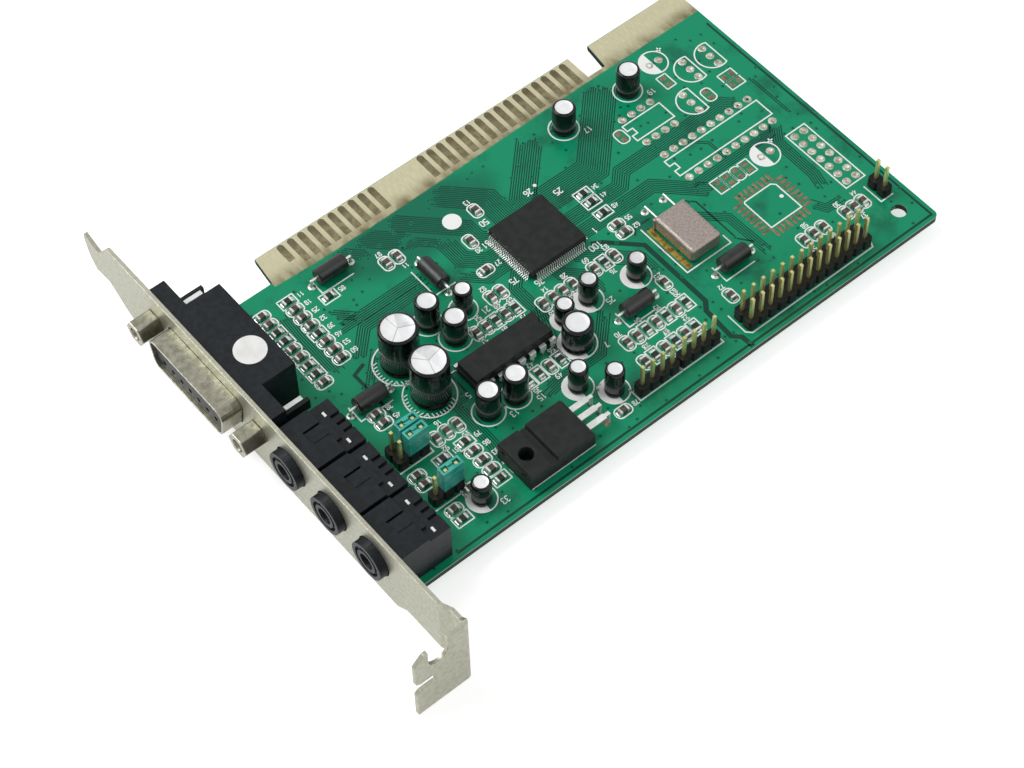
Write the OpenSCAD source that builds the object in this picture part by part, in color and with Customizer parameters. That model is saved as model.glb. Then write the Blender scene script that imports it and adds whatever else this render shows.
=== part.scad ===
// Expansion card for a desktop computer: a circuit board with a 16-bit edge connector,
// a 15-way joystick port, three audio jacks and the steel bracket that closes the slot.
// Millimetres. The board lies flat with its component side up. +X runs from the bracket to
// the far end, +Y towards the edge connector, and the lowest edge of the bracket is at z = 0.
// Every placement below is measured from the first edge contact: x from the contact's middle,
// y from its rounded outer end, z from the component side of the board.

/* [Board] */
// Distance from the first contact to the far end of the board
board_end = 108.4; // [107.6:0.1:125]
// Distance from the contacts' outer ends to the opposite long edge
board_depth = 78.75; // [77.6:0.05:95]
// Gap between the bracket and the near end of the board
board_gap = 1.6; // [0.8:0.1:1.9]
// Thickness of the board
board_t = 1.6; // [1.2:0.1:2]
// Radius of the board's outer corner
board_corner_r = 1.2; // [0.5:0.1:3]
// Radius of the support hole in the far corner
board_hole_r = 1.7; // [1.2:0.05:2.2]
// Distance of the support hole from the far end
board_hole_in = 5.4; // [4:0.1:7]
// Clearance around every lead in its plated hole, on the radius
lead_clear = 0.12; // [0.08:0.01:0.18]
// Length of the leads that shows below the board
lead_below = 1; // [0.6:0.1:1.4]

/* [Edge connector] */
// Distance between neighbouring contacts
contact_pitch = 2.54; // [2.5:0.01:2.58]
// Width of a contact
contact_w = 1.5; // [1.3:0.05:1.8]
// Length of a contact
contact_len = 6.6; // [5:0.1:6.8]
// Thickness of the plated metal
contact_t = 0.05; // [0.03:0.01:0.1]
// How far the contact tongue stands out from the board's edge
tongue_depth = 7.25; // [6.9:0.05:8]
// Width of the key notch between the 8-bit and the 16-bit tongue
key_w = 4.7; // [4.4:0.1:5]
// Bevel along the outer edge of the tongue
tongue_bevel = 0.4; // [0.2:0.05:0.6]

/* [Bracket] */
// Distance from the first contact to the bracket's inner face
bracket_offset = 28; // [27.8:0.1:28.4]
// Thickness of the bracket's sheet
bracket_t = 0.9; // [0.7:0.05:1.1]
// Width of the bracket's wide part
bracket_w = 17.8; // [17.4:0.1:18.6]
// How far the wide part reaches below the component side
bracket_low = 3.6; // [3.2:0.1:3.9]
// How far the narrower upper part reaches below the component side
bracket_step_low = 1.2; // [0.8:0.1:2]
// Distance from the contacts' outer ends to the outer face of the fixing tab
bracket_top = 97.2; // [95.5:0.1:110]
// Length of the tongue that enters the slot, beyond the contacts' outer ends
bracket_tongue = 20.8; // [19:0.1:24]
// Reach of the fixing tab, from the bracket's outer face
tab_reach = 10.7; // [10:0.1:12.5]
// Width of the fixing tab
tab_w = 19.4; // [19:0.1:20.4]
// How far the fixing tab reaches below the component side
tab_low = 4.1; // [4:0.1:4.6]
// Sideways step of the bracket near its bend
joggle = 0.95; // [0.6:0.05:1.2]
// Width of the screw notch in the tab
notch_w = 4.4; // [4.3:0.1:4.8]
// Depth of the screw notch
notch_depth = 5.5; // [4.8:0.1:6.5]
// Clearance between the bracket and what passes through it
bracket_clear = 0.2; // [0.1:0.05:0.3]

/* [Joystick port] */
// Distance of the port's middle from the contacts' outer ends
port_y = 19.6; // [19.2:0.1:20]
// Height of the port's axis above the board
port_z = 6.4; // [6.2:0.1:6.6]
// Height of the shell
shell_h = 7.9; // [7.6:0.1:8.3]
// Thickness of the shell's sheet
shell_t = 0.5; // [0.4:0.05:0.7]
// Length of the shell outside the bracket
shell_out = 4.6; // [4:0.1:5.4]
// Size of the hexagon across its flats
screw_hex = 5; // [4.5:0.1:5.4]
// Length of the hexagon
screw_out = 4.9; // [4.4:0.1:6]
// Radius of the threaded hole in the hexagon
screw_bore_r = 1.42; // [1.3:0.02:1.5]
// Radius of the screw's shank
screw_shank_r = 1.4; // [1.2:0.05:1.5]
// Length of the housing's flange, which also sets the widths of the shell and the block
flange_len = 39.1; // [38.6:0.1:39.4]
// Height of the housing's flange
flange_h = 12.3; // [12:0.1:12.6]
// Depth of the housing's flange
flange_d = 4; // [3.4:0.1:4.6]
// Depth of the block behind the flange
block_d = 7.7; // [7.2:0.1:8]
// Radius of a contact hole in the insulator
socket_r = 0.55; // [0.45:0.05:0.7]

/* [Jacks] */
// Distance between neighbouring jacks
jack_pitch = 12.5; // [12.3:0.1:12.6]
// Gap between the joystick port's flange and the first jack
jack_gap = 1.4; // [1.3:0.1:1.6]
// Width of a jack
jack_w = 11.7; // [11.3:0.1:11.9]
// Height of a jack
jack_h = 10.6; // [10.2:0.1:11.2]
// Depth of a jack behind the bracket
jack_d = 12.4; // [12:0.1:12.8]
// Height of the socket's axis above the board
jack_z = 6.4; // [6:0.1:6.8]
// Radius of the collar that passes through the bracket
collar_r = 4.2; // [3.9:0.05:4.4]
// Length of the collar in front of the bracket's inner face
collar_len = 2.7; // [2.2:0.1:3.4]
// Radius of the socket's hole
socket_bore_r = 1.8; // [1.77:0.01:1.85]
// Depth of the socket's hole, from the collar's face
socket_depth = 13.4; // [11:0.1:13.6]

/* [Chips] */
// Side of the square main chip
chip_side = 14; // [13.6:0.1:14.2]
// Height of the main chip's top above the board
chip_top = 2.9; // [2.4:0.1:3.4]
// Number of leads on each side of the main chip
chip_leads = 25; // [19:1:26]
// Distance between neighbouring leads of the main chip
chip_pitch = 0.5; // [0.48:0.01:0.51]
// Width of a lead of the main chip
chip_lead_w = 0.24; // [0.18:0.01:0.3]
// Reach of a lead from the main chip's side
chip_lead_out = 1.1; // [0.9:0.05:1.3]
// Length of the amplifier chip
amp_len = 19.1; // [18.9:0.1:19.8]
// Width of the amplifier chip
amp_w = 6.35; // [6:0.05:6.6]
// Height of the amplifier chip's top above the board
amp_top = 4.4; // [4:0.1:5]
// Distance between the amplifier chip's two rows of leads
amp_rows = 7.62; // [7.5:0.02:7.8]
// Length of the regulator's body
reg_len = 15.9; // [15.4:0.1:16.2]
// Width of the regulator's body
reg_w = 9.8; // [9.4:0.1:10.2]
// Height of the regulator's body
reg_h = 4.5; // [4.2:0.1:4.9]
// Radius of the hole through the regulator
reg_hole_r = 1.55; // [1.4:0.05:1.7]

/* [Crystal and beads] */
// Width of the crystal's can
can_w = 7.8; // [7.2:0.1:8]
// Length of the crystal's can
can_len = 11.7; // [11:0.1:12.4]
// Height of the crystal's can
can_h = 3.6; // [3.2:0.1:4]
// Radius of a ferrite bead
bead_r = 1.75; // [1.5:0.05:1.9]
// Length of a ferrite bead
bead_len = 6.8; // [6:0.1:7.4]
// Radius of the wire through a bead
bead_wire_r = 0.3; // [0.25:0.01:0.35]
// Distance between the ends of a bead's wire
bead_span = 9.6; // [9:0.1:10.4]

/* [Capacitors] */
// Radius of the two large capacitors
cap_large_r = 4; // [3.8:0.05:4.05]
// Radius of the medium capacitor
cap_medium_r = 3.15; // [3:0.05:3.2]
// Radius of the small capacitors
cap_small_r = 2.5; // [2.4:0.02:2.52]
// Radius of the smallest capacitors
cap_tiny_r = 2; // [1.9:0.02:2.05]
// Height of the two large capacitors
cap_large_h = 11.5; // [10.5:0.1:12.5]
// Radius of a capacitor's leads
cap_lead_r = 0.25; // [0.2:0.01:0.3]

/* [Headers] */
// Distance between neighbouring header pins
pin_pitch = 2.54; // [2.5:0.01:2.56]
// Side of a square header pin
pin_side = 0.64; // [0.6:0.01:0.66]
// Height of a header's plastic base
base_h = 2.54; // [2.3:0.02:2.8]
// Height of the pins' tips above the board
pin_top = 8.5; // [8:0.1:9]
// Number of columns in the long double header
wave_columns = 13; // [10:1:13]
// Length of a jumper's shunt
shunt_len = 4.8; // [4.6:0.1:5]
// Width of a jumper's shunt
shunt_w = 2.1; // [1.9:0.05:2.3]
// Height of a jumper's shunt
shunt_h = 5.9; // [5.4:0.1:6.2]

/* [Small chips] */
// Length of a chip resistor or capacitor
smd_len = 2; // [1.9:0.05:2.1]
// Width of a chip resistor or capacitor
smd_w = 1.25; // [1.1:0.05:1.3]
// Height of a chip capacitor
smd_cap_h = 0.85; // [0.6:0.05:1.1]
// Height of a chip resistor
smd_res_h = 0.55; // [0.4:0.05:0.65]
// Length of a soldered end
smd_end = 0.4; // [0.3:0.02:0.5]

/* [Hidden] */
$fn = 32;
cut = 1;

// The model's frame: middle of the overall footprint, lowest edge of the bracket's tab
tab_x = bracket_offset + bracket_t + tab_reach;
frame_x = (board_end - tab_x) / 2;
frame_y = (bracket_tongue - bracket_top) / 2;
frame_z = tab_low;

// Board outline
tongue_y = 1.25;
edge_y = tongue_y - tongue_depth;
start_x = board_gap - bracket_offset;
tongue_x0 = -3.9;
key_x0 = 30.5 * contact_pitch + 1.05;
key_x1 = key_x0 + key_w;
tongue_slope = 0.9;
hole_y = 5.95 - board_depth;
contacts_top = [for (k = [2 : 31]) if (k < 12 || k > 15) k];
contacts_under = [for (k = [1 : 31]) k];
contact_k_16 = [for (k = [0 : 8]) k];
contact_16_x = key_x1 + 2.2;

// Bracket
tab_top = tab_w - tab_low;
wide_top = bracket_w - bracket_low;
inner_x = -bracket_offset;
outer_x = inner_x - bracket_t;
tab_y = -bracket_top;
notch_x = outer_x - 5.45;
bend_r = 1.1;
screw_span = flange_len - 5.8;
shell_w = screw_span - 8.6;
shell_half = shell_w / 2;
shell_slope = tan(10);

// Joystick port
flange_x = inner_x + flange_d;
block_x = flange_x + block_d;
block_len = shell_w - 0.6;
socket_pitch = (shell_w - 5.31) / 7;
plate_t = 0.6;
insulator_in = 0.7;
lock_y = screw_span / 2 - 0.55;
lock_x = 5.5;
screw_end = 3;
port_rows = [[8, -7.9, 2.2], [7, -5.4, 1.4]];

// Jacks
jack_x = inner_x + jack_d;
jack_y = port_y + flange_len / 2 + jack_gap + jack_w / 2;
jack_contact_in = 2.75;
jack_contact_offsets = [3.3, -4.2];
jack_front_offsets = [3.6, -3.6];

// Chip packages
chip_at = [42.7, -31.8];
amp_at = [19.6, -49.8];
amp_pitch = 2.54;
amp_leads = 8;
reg_at = [4.2, -71];
reg_lead_z = 2.6;
reg_lead_out = 5.2;
can_at = [66.3, -44.3];
can_lead_span = 4.9;
can_lead_y = -40.2;

// Capacitors: x, y, size class, height
large = 0;
medium = 1;
small = 2;
tiny = 3;
capacitors = [
    [3.7, -37.3, large, cap_large_h],
    [3.6, -46.9, large, cap_large_h],
    [32.7, -55.9, medium, 7],
    [13.5, -33.5, small, 7.6],
    [15.5, -39.6, small, 7.2],
    [9.4, -57.2, small, 7.6],
    [15.7, -57.7, small, 7.8],
    [65.6, -13, small, 6.8],
    [82.3, -13.8, small, 6.8],
    [20.9, -35.3, tiny, 7],
    [52.1, -51, tiny, 6],
    [41.1, -49.3, tiny, 7],
    [34.4, -50, tiny, 5.4],
    [26.1, -63.8, tiny, 7],
    [30.9, -68.9, tiny, 7.4],
    [-3.9, -71.4, tiny, 6]];
cap_radii = [cap_large_r, cap_medium_r, cap_small_r, cap_tiny_r];
cap_lead_span = [3.5, 2.5, 2, 1.5];

// Ferrite beads: x, y, turned to lie along Y
beads = [
    [6.3, -11.8, 0],
    [21.2, -25.6, 90],
    [-6.5, -41, 0],
    [68.8, -61.1, 0],
    [46.9, -57.1, 0]];
bead_z = bead_r + 0.05;

// Headers
wave_at = [76.4, -73.05];
audio_at = [[38.6, -72.4], [49.2, -72.4]];
corner_at = [board_end - 4.6, -66.3];
jumper_at = [[-8.22, -54.6], [-8.17, -66.25]];
jumper_size = [[3, 2], [3, 1]];
pin_clear = 0.05;
notch = 0.45;
shunt_z = base_h + 0.1;
shunt_rows = [2, 1];

// Rows of small chips: first x and y, step in x and y, turned along Y, kinds in order
smd_rows = [
    [-4.4, -11.7, 0, -2.49, 0, "RCCCRCCC"],
    [-10.5, -11.4, 0, -2.52, 0, "CCRRCCRRC"],
    [19.2, -41.6, 2.4, 0, 90, "CCRCR"],
    [26.8, -36.8, 2.4, 0, 90, "CC"],
    [38.1, -17.9, 0, 0, 90, "C"],
    [32.4, -23.3, 0, 0, 90, "C"],
    [30.2, -30.9, 0, 0, 0, "C"],
    [57.4, -28.7, 0, -2.6, 0, "RR"],
    [57.4, -34.9, 0, 0, 0, "R"],
    [57.4, -39, 0, -2.5, 0, "CC"],
    [46.8, -44.5, 2.6, 0, 90, "CRC"],
    [33.6, -44.6, 2.5, 0, 90, "CCCC"],
    [19.6, -56.7, 2.7, 0, 90, "RRCR"],
    [55.1, -55.9, 0, 0, 90, "C"],
    [40, -62.2, 2.53, 0, 90, "CCRCRCR"],
    [39.7, -67.8, 2.6, 0, 90, "CRCRCR"],
    [29.1, -73.6, 0, 0, 0, "C"],
    [2.7, -15.9, 0, 0, 0, "R"],
    [-2.1, -55.6, 2.5, 0, 90, "CCC"],
    [94.5, -66.4, 2.3, 0, 90, "CCC"],
    [83.3, -66.1, 2.6, 0, 90, "CCC"],
    [63, -66.7, 0, 0, 90, "C"],
    [1.6, -59.6, 0, -2.65, 0, "RCCCR"],
    [-4, -59.9, 0, 0, 0, "R"],
    [-7.5, -44, 0, -2.4, 0, "CC"],
    [-10.1, -59.8, 0, -2.4, 0, "CC"],
    [-9.4, -70, 0, -2.5, 0, "CR"],
    [-4.2, -68.35, 0, 0, 0, "C"],
    [16.3, -16.8, 2.6, 0, 90, "CC"]];
smd_list = [for (r = smd_rows) for (i = [0 : len(r[5]) - 1])
    [r[0] + i * r[2], r[1] + i * r[3], r[4], r[5][i]]];

// Plated holes that stay empty: first x and y, steps, count, hole radius
spare_rows = [
    [76.79, -31.58, 2.54, 0, 10],
    [76.79, -39.2, 2.54, 0, 10],
    [76.22, -19.1, 2.54, 0, 4],
    [76.22, -26.72, 2.54, 0, 4],
    [100.24, -45.33, 0, -2.54, 7],
    [102.78, -45.33, 0, -2.54, 7],
    [101.8, -15.25, 0, -2.54, 3],
    [96.15, -15.3, 0, -2.54, 3],
    [90.25, -22.15, 0, -2.54, 3],
    [90.25, -11.6, 2.54, 0, 2],
    [91.35, -44.8, 2.54, 0, 2]];
spare_r = 0.42;
spare_holes = [for (r = spare_rows) for (i = [0 : r[4] - 1]) [r[0] + i * r[2], r[1] + i * r[3]]];

// Every lead that passes through the board, by its group: x, y
function turned(p, a) = [p[0] * cos(a) - p[1] * sin(a), p[0] * sin(a) + p[1] * cos(a)];
function header_pins(at, columns, rows) = [for (i = [0 : columns - 1]) for (j = [0 : rows - 1])
    [at[0] + (i - (columns - 1) / 2) * pin_pitch, at[1] + (j - (rows - 1) / 2) * pin_pitch]];
function jack_middle(n) = -jack_y - (n - 1) * jack_pitch;
function jack_legs(n) = concat(
    [for (o = jack_contact_offsets) [jack_x - jack_contact_in, jack_middle(n) + o]],
    [for (o = jack_front_offsets) [inner_x + 4.4, jack_middle(n) + o]]);
cap_leads = [for (c = capacitors) for (s = [-0.5, 0.5]) [c[0] + s * cap_lead_span[c[2]], c[1]]];
bead_leads = [for (b = beads) for (s = [-0.5, 0.5])
    [b[0], b[1]] + turned([s * bead_span, 0], b[2])];
wave_pins = header_pins(wave_at, wave_columns, 2);
corner_pins = header_pins(corner_at, 1, 2);
audio_pins = [for (a = audio_at) for (p = header_pins(a, 4, 1)) p];
jumper_pins = [for (j = [0, 1]) for (p = header_pins(jumper_at[j], jumper_size[j][0],
    jumper_size[j][1])) p];
other_pins = concat(audio_pins, corner_pins, jumper_pins);
port_pins = [for (r = port_rows) for (i = [0 : r[0] - 1])
    [block_x + r[1], -port_y + (i - (r[0] - 1) / 2) * socket_pitch]];
lock_legs = [[flange_x + lock_x, -port_y - lock_y]];
amp_pins = [for (i = [0 : amp_leads - 1]) for (s = [-0.5, 0.5])
    [amp_at[0] + (i - (amp_leads - 1) / 2) * amp_pitch, amp_at[1] + s * amp_rows]];
reg_pins = [for (i = [-1 : 1]) [reg_at[0] + reg_len + reg_lead_out, reg_at[1] + i * 2.54]];
can_pins = [for (s = [-0.5, 0.5]) [can_at[0] + s * can_lead_span, can_lead_y]];

// Radius that each group's leads need in the board
port_pin_r = 0.35;
lock_leg_r = 0.75;
can_lead_r = 0.22;
pin_r = pin_side * 0.7072;
jack_leg_r = 0.62;
amp_leg_r = 0.3;
reg_leg_r = 0.48;
lead_groups = [
    [cap_leads, cap_lead_r],
    [bead_leads, bead_wire_r],
    [wave_pins, pin_r],
    [other_pins, pin_r],
    [port_pins, port_pin_r],
    [lock_legs, lock_leg_r],
    [amp_pins, amp_leg_r],
    [reg_pins, reg_leg_r],
    [can_pins, can_lead_r],
    [jack_legs(1), jack_leg_r],
    [jack_legs(2), jack_leg_r],
    [jack_legs(3), jack_leg_r]];

// Colours
mask_green = [0.05, 0.42, 0.3];
gold = [0.62, 0.55, 0.32];
steel = [0.72, 0.71, 0.66];
black = [0.09, 0.1, 0.11];
tin = [0.8, 0.8, 0.78];
teal = [0.1, 0.5, 0.52];
solder = [0.68, 0.68, 0.66];

// Moves the board's own frame into the model's frame
module placed() {
    translate([-frame_x, -frame_y, frame_z]) children();
}

// Straight extrusion along X of an outline drawn in the YZ plane
module along_x(x0, x1) {
    translate([x0, 0, 0]) rotate([90, 0, 90]) linear_extrude(x1 - x0) children();
}

// Box from one corner to the opposite one
module box(a, b) {
    translate(a) cube(b - a);
}

function arc(c, r, a0, a1, n) = [for (i = [0 : n])
    [c[0] + r * cos(a0 + (a1 - a0) * i / n), c[1] + r * sin(a0 + (a1 - a0) * i / n)]];

// Outline of the port's shell in the YZ plane: wide side up, both ends slanted by 10 degrees
function shell_outline(grow) = let (
        h = shell_h / 2 + grow,
        r = 2.1 + grow,
        mid = shell_half - shell_h / 2 * shell_slope + grow / cos(10),
        up = mid + (h - r) * shell_slope - r / cos(10),
        low = mid - (h - r) * shell_slope - r / cos(10))
    concat(
        arc([up, h - r], r, -10, 90, 6),
        arc([-up, h - r], r, 90, 190, 6),
        arc([-low, r - h], r, 190, 270, 6),
        arc([low, r - h], r, 270, 350, 6));

module port_profile(grow) {
    translate([-port_y, port_z]) polygon(shell_outline(grow));
}

module circuit_board() color(mask_green) placed() difference() {
    translate([0, 0, -board_t]) linear_extrude(board_t) board_outline();
    tongue_bevels();
    translate([board_end - board_hole_in, hole_y, -board_t - cut])
        cylinder(h = board_t + 2 * cut, r = board_hole_r);
    for (g = lead_groups)
        for (p = g[0])
            drill(p, g[1] + lead_clear);
    for (p = spare_holes)
        drill(p, spare_r);
}

module drill(p, r) {
    translate([p[0], p[1], -board_t - cut]) cylinder(h = board_t + 2 * cut, r = r, $fn = 16);
}

module board_outline() {
    far = board_end;
    top = -board_depth;
    r = board_corner_r;
    polygon(concat(
        [[start_x, top]],
        arc([far - r, top + r], r, -90, 0, 6),
        [[far, tongue_y]],
        [[key_x1 + tongue_slope, tongue_y]],
        [[key_x1, edge_y + 0.35]],
        [[key_x0, edge_y + 0.35]],
        [[key_x0, tongue_y]],
        [[tongue_x0 + tongue_slope, tongue_y]],
        [[tongue_x0, edge_y]],
        [[start_x, edge_y]]));
}

module tongue_bevels() {
    b = tongue_bevel;
    for (z = [0, -board_t])
        translate([tongue_x0 - cut, tongue_y, z]) rotate([0, 90, 0])
            cylinder(h = board_end - tongue_x0 + 2 * cut, r = b, $fn = 4);
}

module edge_contacts() color(gold) placed() {
    for (k = contacts_top)
        contact((k - 1) * contact_pitch, 0, contact_len - (k == 2 ? 1.9 : 0));
    for (k = contacts_under)
        contact((k - 1) * contact_pitch, -board_t - contact_t, contact_len - 0.4);
    for (k = contact_k_16)
        contact(contact_16_x + k * contact_pitch, -board_t - contact_t, contact_len - 0.4);
}

module contact(x, z, length) {
    translate([x, contact_w / 2 - 0.05, z]) linear_extrude(contact_t) {
        translate([-contact_w / 2, -length]) square([contact_w, length - contact_w / 2]);
        translate([0, -contact_w / 2]) circle(r = contact_w / 2);
    }
}

module bracket() color(steel) placed() difference() {
    intersection() {
        translate([0, 0, -tab_low - cut]) linear_extrude(tab_w + 2 * cut) bracket_side();
        along_x(-tab_x - cut, inner_x + joggle + cut) bracket_front();
    }
    tab_cuts();
    along_x(outer_x - cut, inner_x + cut) port_profile(bracket_clear);
    for (s = [-1, 1])
        translate([outer_x - cut, -port_y + s * screw_span / 2, port_z]) rotate([0, 90, 0])
            cylinder(h = bracket_t + 2 * cut, r = screw_shank_r + bracket_clear);
    for (n = [1 : 3])
        translate([outer_x - cut, jack_middle(n), jack_z]) rotate([0, 90, 0])
            cylinder(h = bracket_t + 2 * cut, r = collar_r + bracket_clear, $fn = 48);
}

// The bracket seen along its width: the long leg with its step, the bend and the tab
module bracket_side() {
    t = bracket_t;
    y0 = tab_y + 6.8;
    y1 = tab_y + 4.6;
    x = inner_x + joggle;
    polygon(concat(
        [[outer_x, bracket_tongue], [outer_x, y0], [x - t, y1]],
        arc([x - t - bend_r + t, tab_y + t + bend_r - t], bend_r - t, 0, -90, 4),
        [[-tab_x, tab_y + t], [-tab_x, tab_y]],
        arc([x - bend_r, tab_y + bend_r], bend_r, -90, 0, 4),
        [[x, y1], [inner_x, y0], [inner_x, bracket_tongue]]));
}

// The bracket seen from the front: width in Z, length in Y
module bracket_front() {
    far = tab_y - cut;
    tip = bracket_tongue;
    polygon([
        [far, -tab_low], [tab_y + bend_r, -tab_low], [tab_y + bend_r + 1.2, -bracket_step_low],
        [tab_y + 16.7, -bracket_step_low], [tab_y + 19.7, -bracket_low],
        [5.6, -bracket_low], [8.4, -2.2], [13.6, 2], [tip - 2.6, 1.6], [tip - 0.9, 4.4],
        [tip, 8.8], [tip - 0.2, 10.6], [tip - 4.9, 9], [tip - 7.7, wide_top - 1.4],
        [tip - 8.3, wide_top - 0.6], [tip - 9, wide_top],
        [tab_y + bend_r + 1.2, wide_top], [tab_y + bend_r, tab_top], [far, tab_top]]);
}

// Screw notch, clearance slot and corner of the fixing tab
module tab_cuts() {
    r = notch_w / 2;
    floor_z = tab_top - notch_depth;
    translate([notch_x, tab_y - cut, floor_z + r]) rotate([-90, 0, 0])
        cylinder(h = bracket_t + 2 * cut, r = r);
    box([notch_x - r, tab_y - cut, floor_z + r], [notch_x + r, tab_y + bracket_t + cut, tab_top + cut]);
    box([-tab_x - cut, tab_y - cut, 3.9], [-tab_x + 4.3, tab_y + bracket_t + cut, 6.3]);
    translate([-tab_x, tab_y - cut, 5.1]) rotate([-90, 0, 0])
        cylinder(h = bracket_t + 2 * cut, r = 2, $fn = 4);
    translate([-tab_x, tab_y - cut, tab_top]) rotate([-90, 0, 0])
        cylinder(h = bracket_t + 2 * cut, r = 2.2, $fn = 4);
}

module gameport_shell() color(steel) placed() {
    difference() {
        union() {
            along_x(inner_x - bracket_t - shell_out, inner_x + plate_t) port_profile(0);
            plate_box(0);
        }
        along_x(inner_x - bracket_t - shell_out - cut, inner_x + plate_t + cut)
            port_profile(-shell_t);
        for (s = [-1, 1])
            translate([inner_x - cut, -port_y + s * screw_span / 2, port_z]) rotate([0, 90, 0])
                cylinder(h = plate_t + 2 * cut, r = screw_shank_r + bracket_clear);
    }
}

// The shell's flat flange, and with a clearance the recess that takes it
module plate_box(grow) {
    x1 = inner_x + plate_t;
    half = flange_len / 2 - 1 + grow;
    box([inner_x - (grow > 0 ? cut : 0), -port_y - half, 0.9 - grow],
        [x1, -port_y + half, flange_h - 0.7 + grow]);
}

module gameport_insulator() color(black) placed() difference() {
    face = outer_x - shell_out + insulator_in;
    along_x(face, inner_x + plate_t) port_profile(-shell_t - 0.1);
    for (r = [[8, 1.42], [7, -1.42]])
        for (i = [0 : r[0] - 1])
            translate([face - cut, -port_y + (i - (r[0] - 1) / 2) * socket_pitch, port_z + r[1]])
                rotate([0, 90, 0]) cylinder(h = 4 + cut, r = socket_r, $fn = 16);
}

module gameport_housing() color(black) placed() difference() {
    half = flange_len / 2;
    union() {
        box([inner_x, -port_y - half, 0.1], [flange_x, -port_y + half, flange_h]);
        box([flange_x - cut, -port_y - block_len / 2, 0], [block_x, -port_y + block_len / 2, flange_h]);
        for (s = [-1, 1])
            along_x(flange_x - 0.5, flange_x + lock_x + 1.1)
                translate([-port_y + s * (lock_y + 1), 5.85]) square([0.9, 2.7], center = true);
    }
    plate_box(0.1);
    for (s = [-1, 1])
        translate([inner_x - cut, -port_y + s * screw_span / 2, port_z]) rotate([0, 90, 0])
            cylinder(h = cut + screw_end + 0.1, r = screw_shank_r + 0.1);
    for (p = port_pins)
        translate([p[0], p[1], -cut]) cylinder(h = cut + 1.2, r = port_pin_r + 0.08, $fn = 16);
}

module gameport_pins() color(tin) placed() {
    for (p = port_pins)
        translate([p[0], p[1], -board_t - lead_below])
            cylinder(h = board_t + lead_below + 1.2, r = port_pin_r, $fn = 16);
}

// Sheet clips that hold the port down: a flat arm from the flange, then a leg into the board.
// One stands past the board's edge, so its leg ends short
module gameport_board_locks() color(tin) placed() {
    t = 0.4;
    x1 = flange_x + lock_x + t / 2;
    for (s = [-1, 1])
        translate([0, -port_y + s * lock_y, 0]) {
            box([flange_x, -0.5, 6.8], [x1, 0.5, 6.8 + t]);
            box([x1 - t, -0.5, s > 0 ? 3.4 : -board_t - lead_below], [x1, 0.5, 6.8 + t]);
        }
}

module jackscrew(s) {
    head = screw_out;
    x0 = outer_x - head;
    color(tin) placed() translate([0, -port_y + s * screw_span / 2, port_z]) rotate([0, 90, 0])
        difference() {
            union() {
                translate([0, 0, x0]) rotate([0, 0, 30])
                    cylinder(h = head, r = screw_hex / sqrt(3), $fn = 6);
                translate([0, 0, outer_x - 0.1])
                    cylinder(h = bracket_t + 0.1 + screw_end, r = screw_shank_r);
            }
            translate([0, 0, x0 - cut]) cylinder(h = cut + head - 0.7, r = screw_bore_r);
        }
}

module jackscrew_1() jackscrew(1);

module jackscrew_2() jackscrew(-1);

module jack_body(n) {
    y = jack_middle(n);
    step = jack_x - 4.8;
    color(black) placed() difference() {
        union() {
            box([inner_x, y - jack_w / 2, 0], [step, y + jack_w / 2, jack_h]);
            box([step - cut, y - jack_w / 2, 0], [jack_x, y + jack_w / 2, jack_h - 0.9]);
            box([step - cut, y - 3, 0], [jack_x - 3.5, y + 2.2, jack_h - 0.3]);
            box([jack_x - 8.4, y - 1.1, jack_h - cut], [step, y + 1.6, jack_h + 0.15]);
            translate([inner_x - collar_len, y, jack_z]) rotate([0, 90, 0])
                cylinder(h = collar_len + 0.5, r = collar_r, $fn = 48);
        }
        translate([inner_x - collar_len - cut, y, jack_z]) rotate([0, 90, 0])
            cylinder(h = socket_depth + cut, r = socket_bore_r);
        translate([inner_x - collar_len - cut, y, jack_z]) rotate([0, 90, 0])
            difference() {
                cylinder(h = cut + 0.5, r = collar_r - 0.9, $fn = 48);
                cylinder(h = cut + 0.5, r = socket_bore_r + 0.8, $fn = 48);
            }
        box([jack_x - 8.6, y + 1.7, jack_h - 0.8], [step + 0.2, y + 2.2, jack_h + cut]);
        for (p = jack_legs(n))
            leg_slot(p);
        for (o = [-2.3, -0.3, 1.7])
            box([jack_x - 2.2, y + o, jack_h - 1.6], [jack_x + cut, y + o + 0.7, jack_h]);
    }
}

module leg_slot(p) {
    rear = p[0] > inner_x + 6;
    top = rear ? jack_h + cut : 1.5;
    box([p[0] - 0.35, p[1] - 0.7, -cut], [p[0] + 0.35, p[1] + 0.7, top]);
}

module jack_body_1() jack_body(1);

module jack_body_2() jack_body(2);

module jack_body_3() jack_body(3);

module jack_contacts(n) {
    color(tin) placed()
        for (p = jack_legs(n)) {
            rear = p[0] > inner_x + 6;
            top = rear ? jack_h - 0.7 : 1.4;
            box([p[0] - 0.25, p[1] - 0.55, -board_t - lead_below], [p[0] + 0.25, p[1] + 0.55, top]);
        }
}

module jack_contacts_1() jack_contacts(1);

module jack_contacts_2() jack_contacts(2);

module jack_contacts_3() jack_contacts(3);

module main_chip_body() color(black) placed() {
    h = chip_side / 2;
    bottom = 0.3;
    waist = (chip_top + bottom) / 2;
    translate([chip_at[0], chip_at[1], 0]) {
        box([-h, -h, waist - 0.12], [h, h, waist + 0.12]);
        box([0.12 - h, 0.12 - h, bottom], [h - 0.12, h - 0.12, chip_top]);
    }
}

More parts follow.
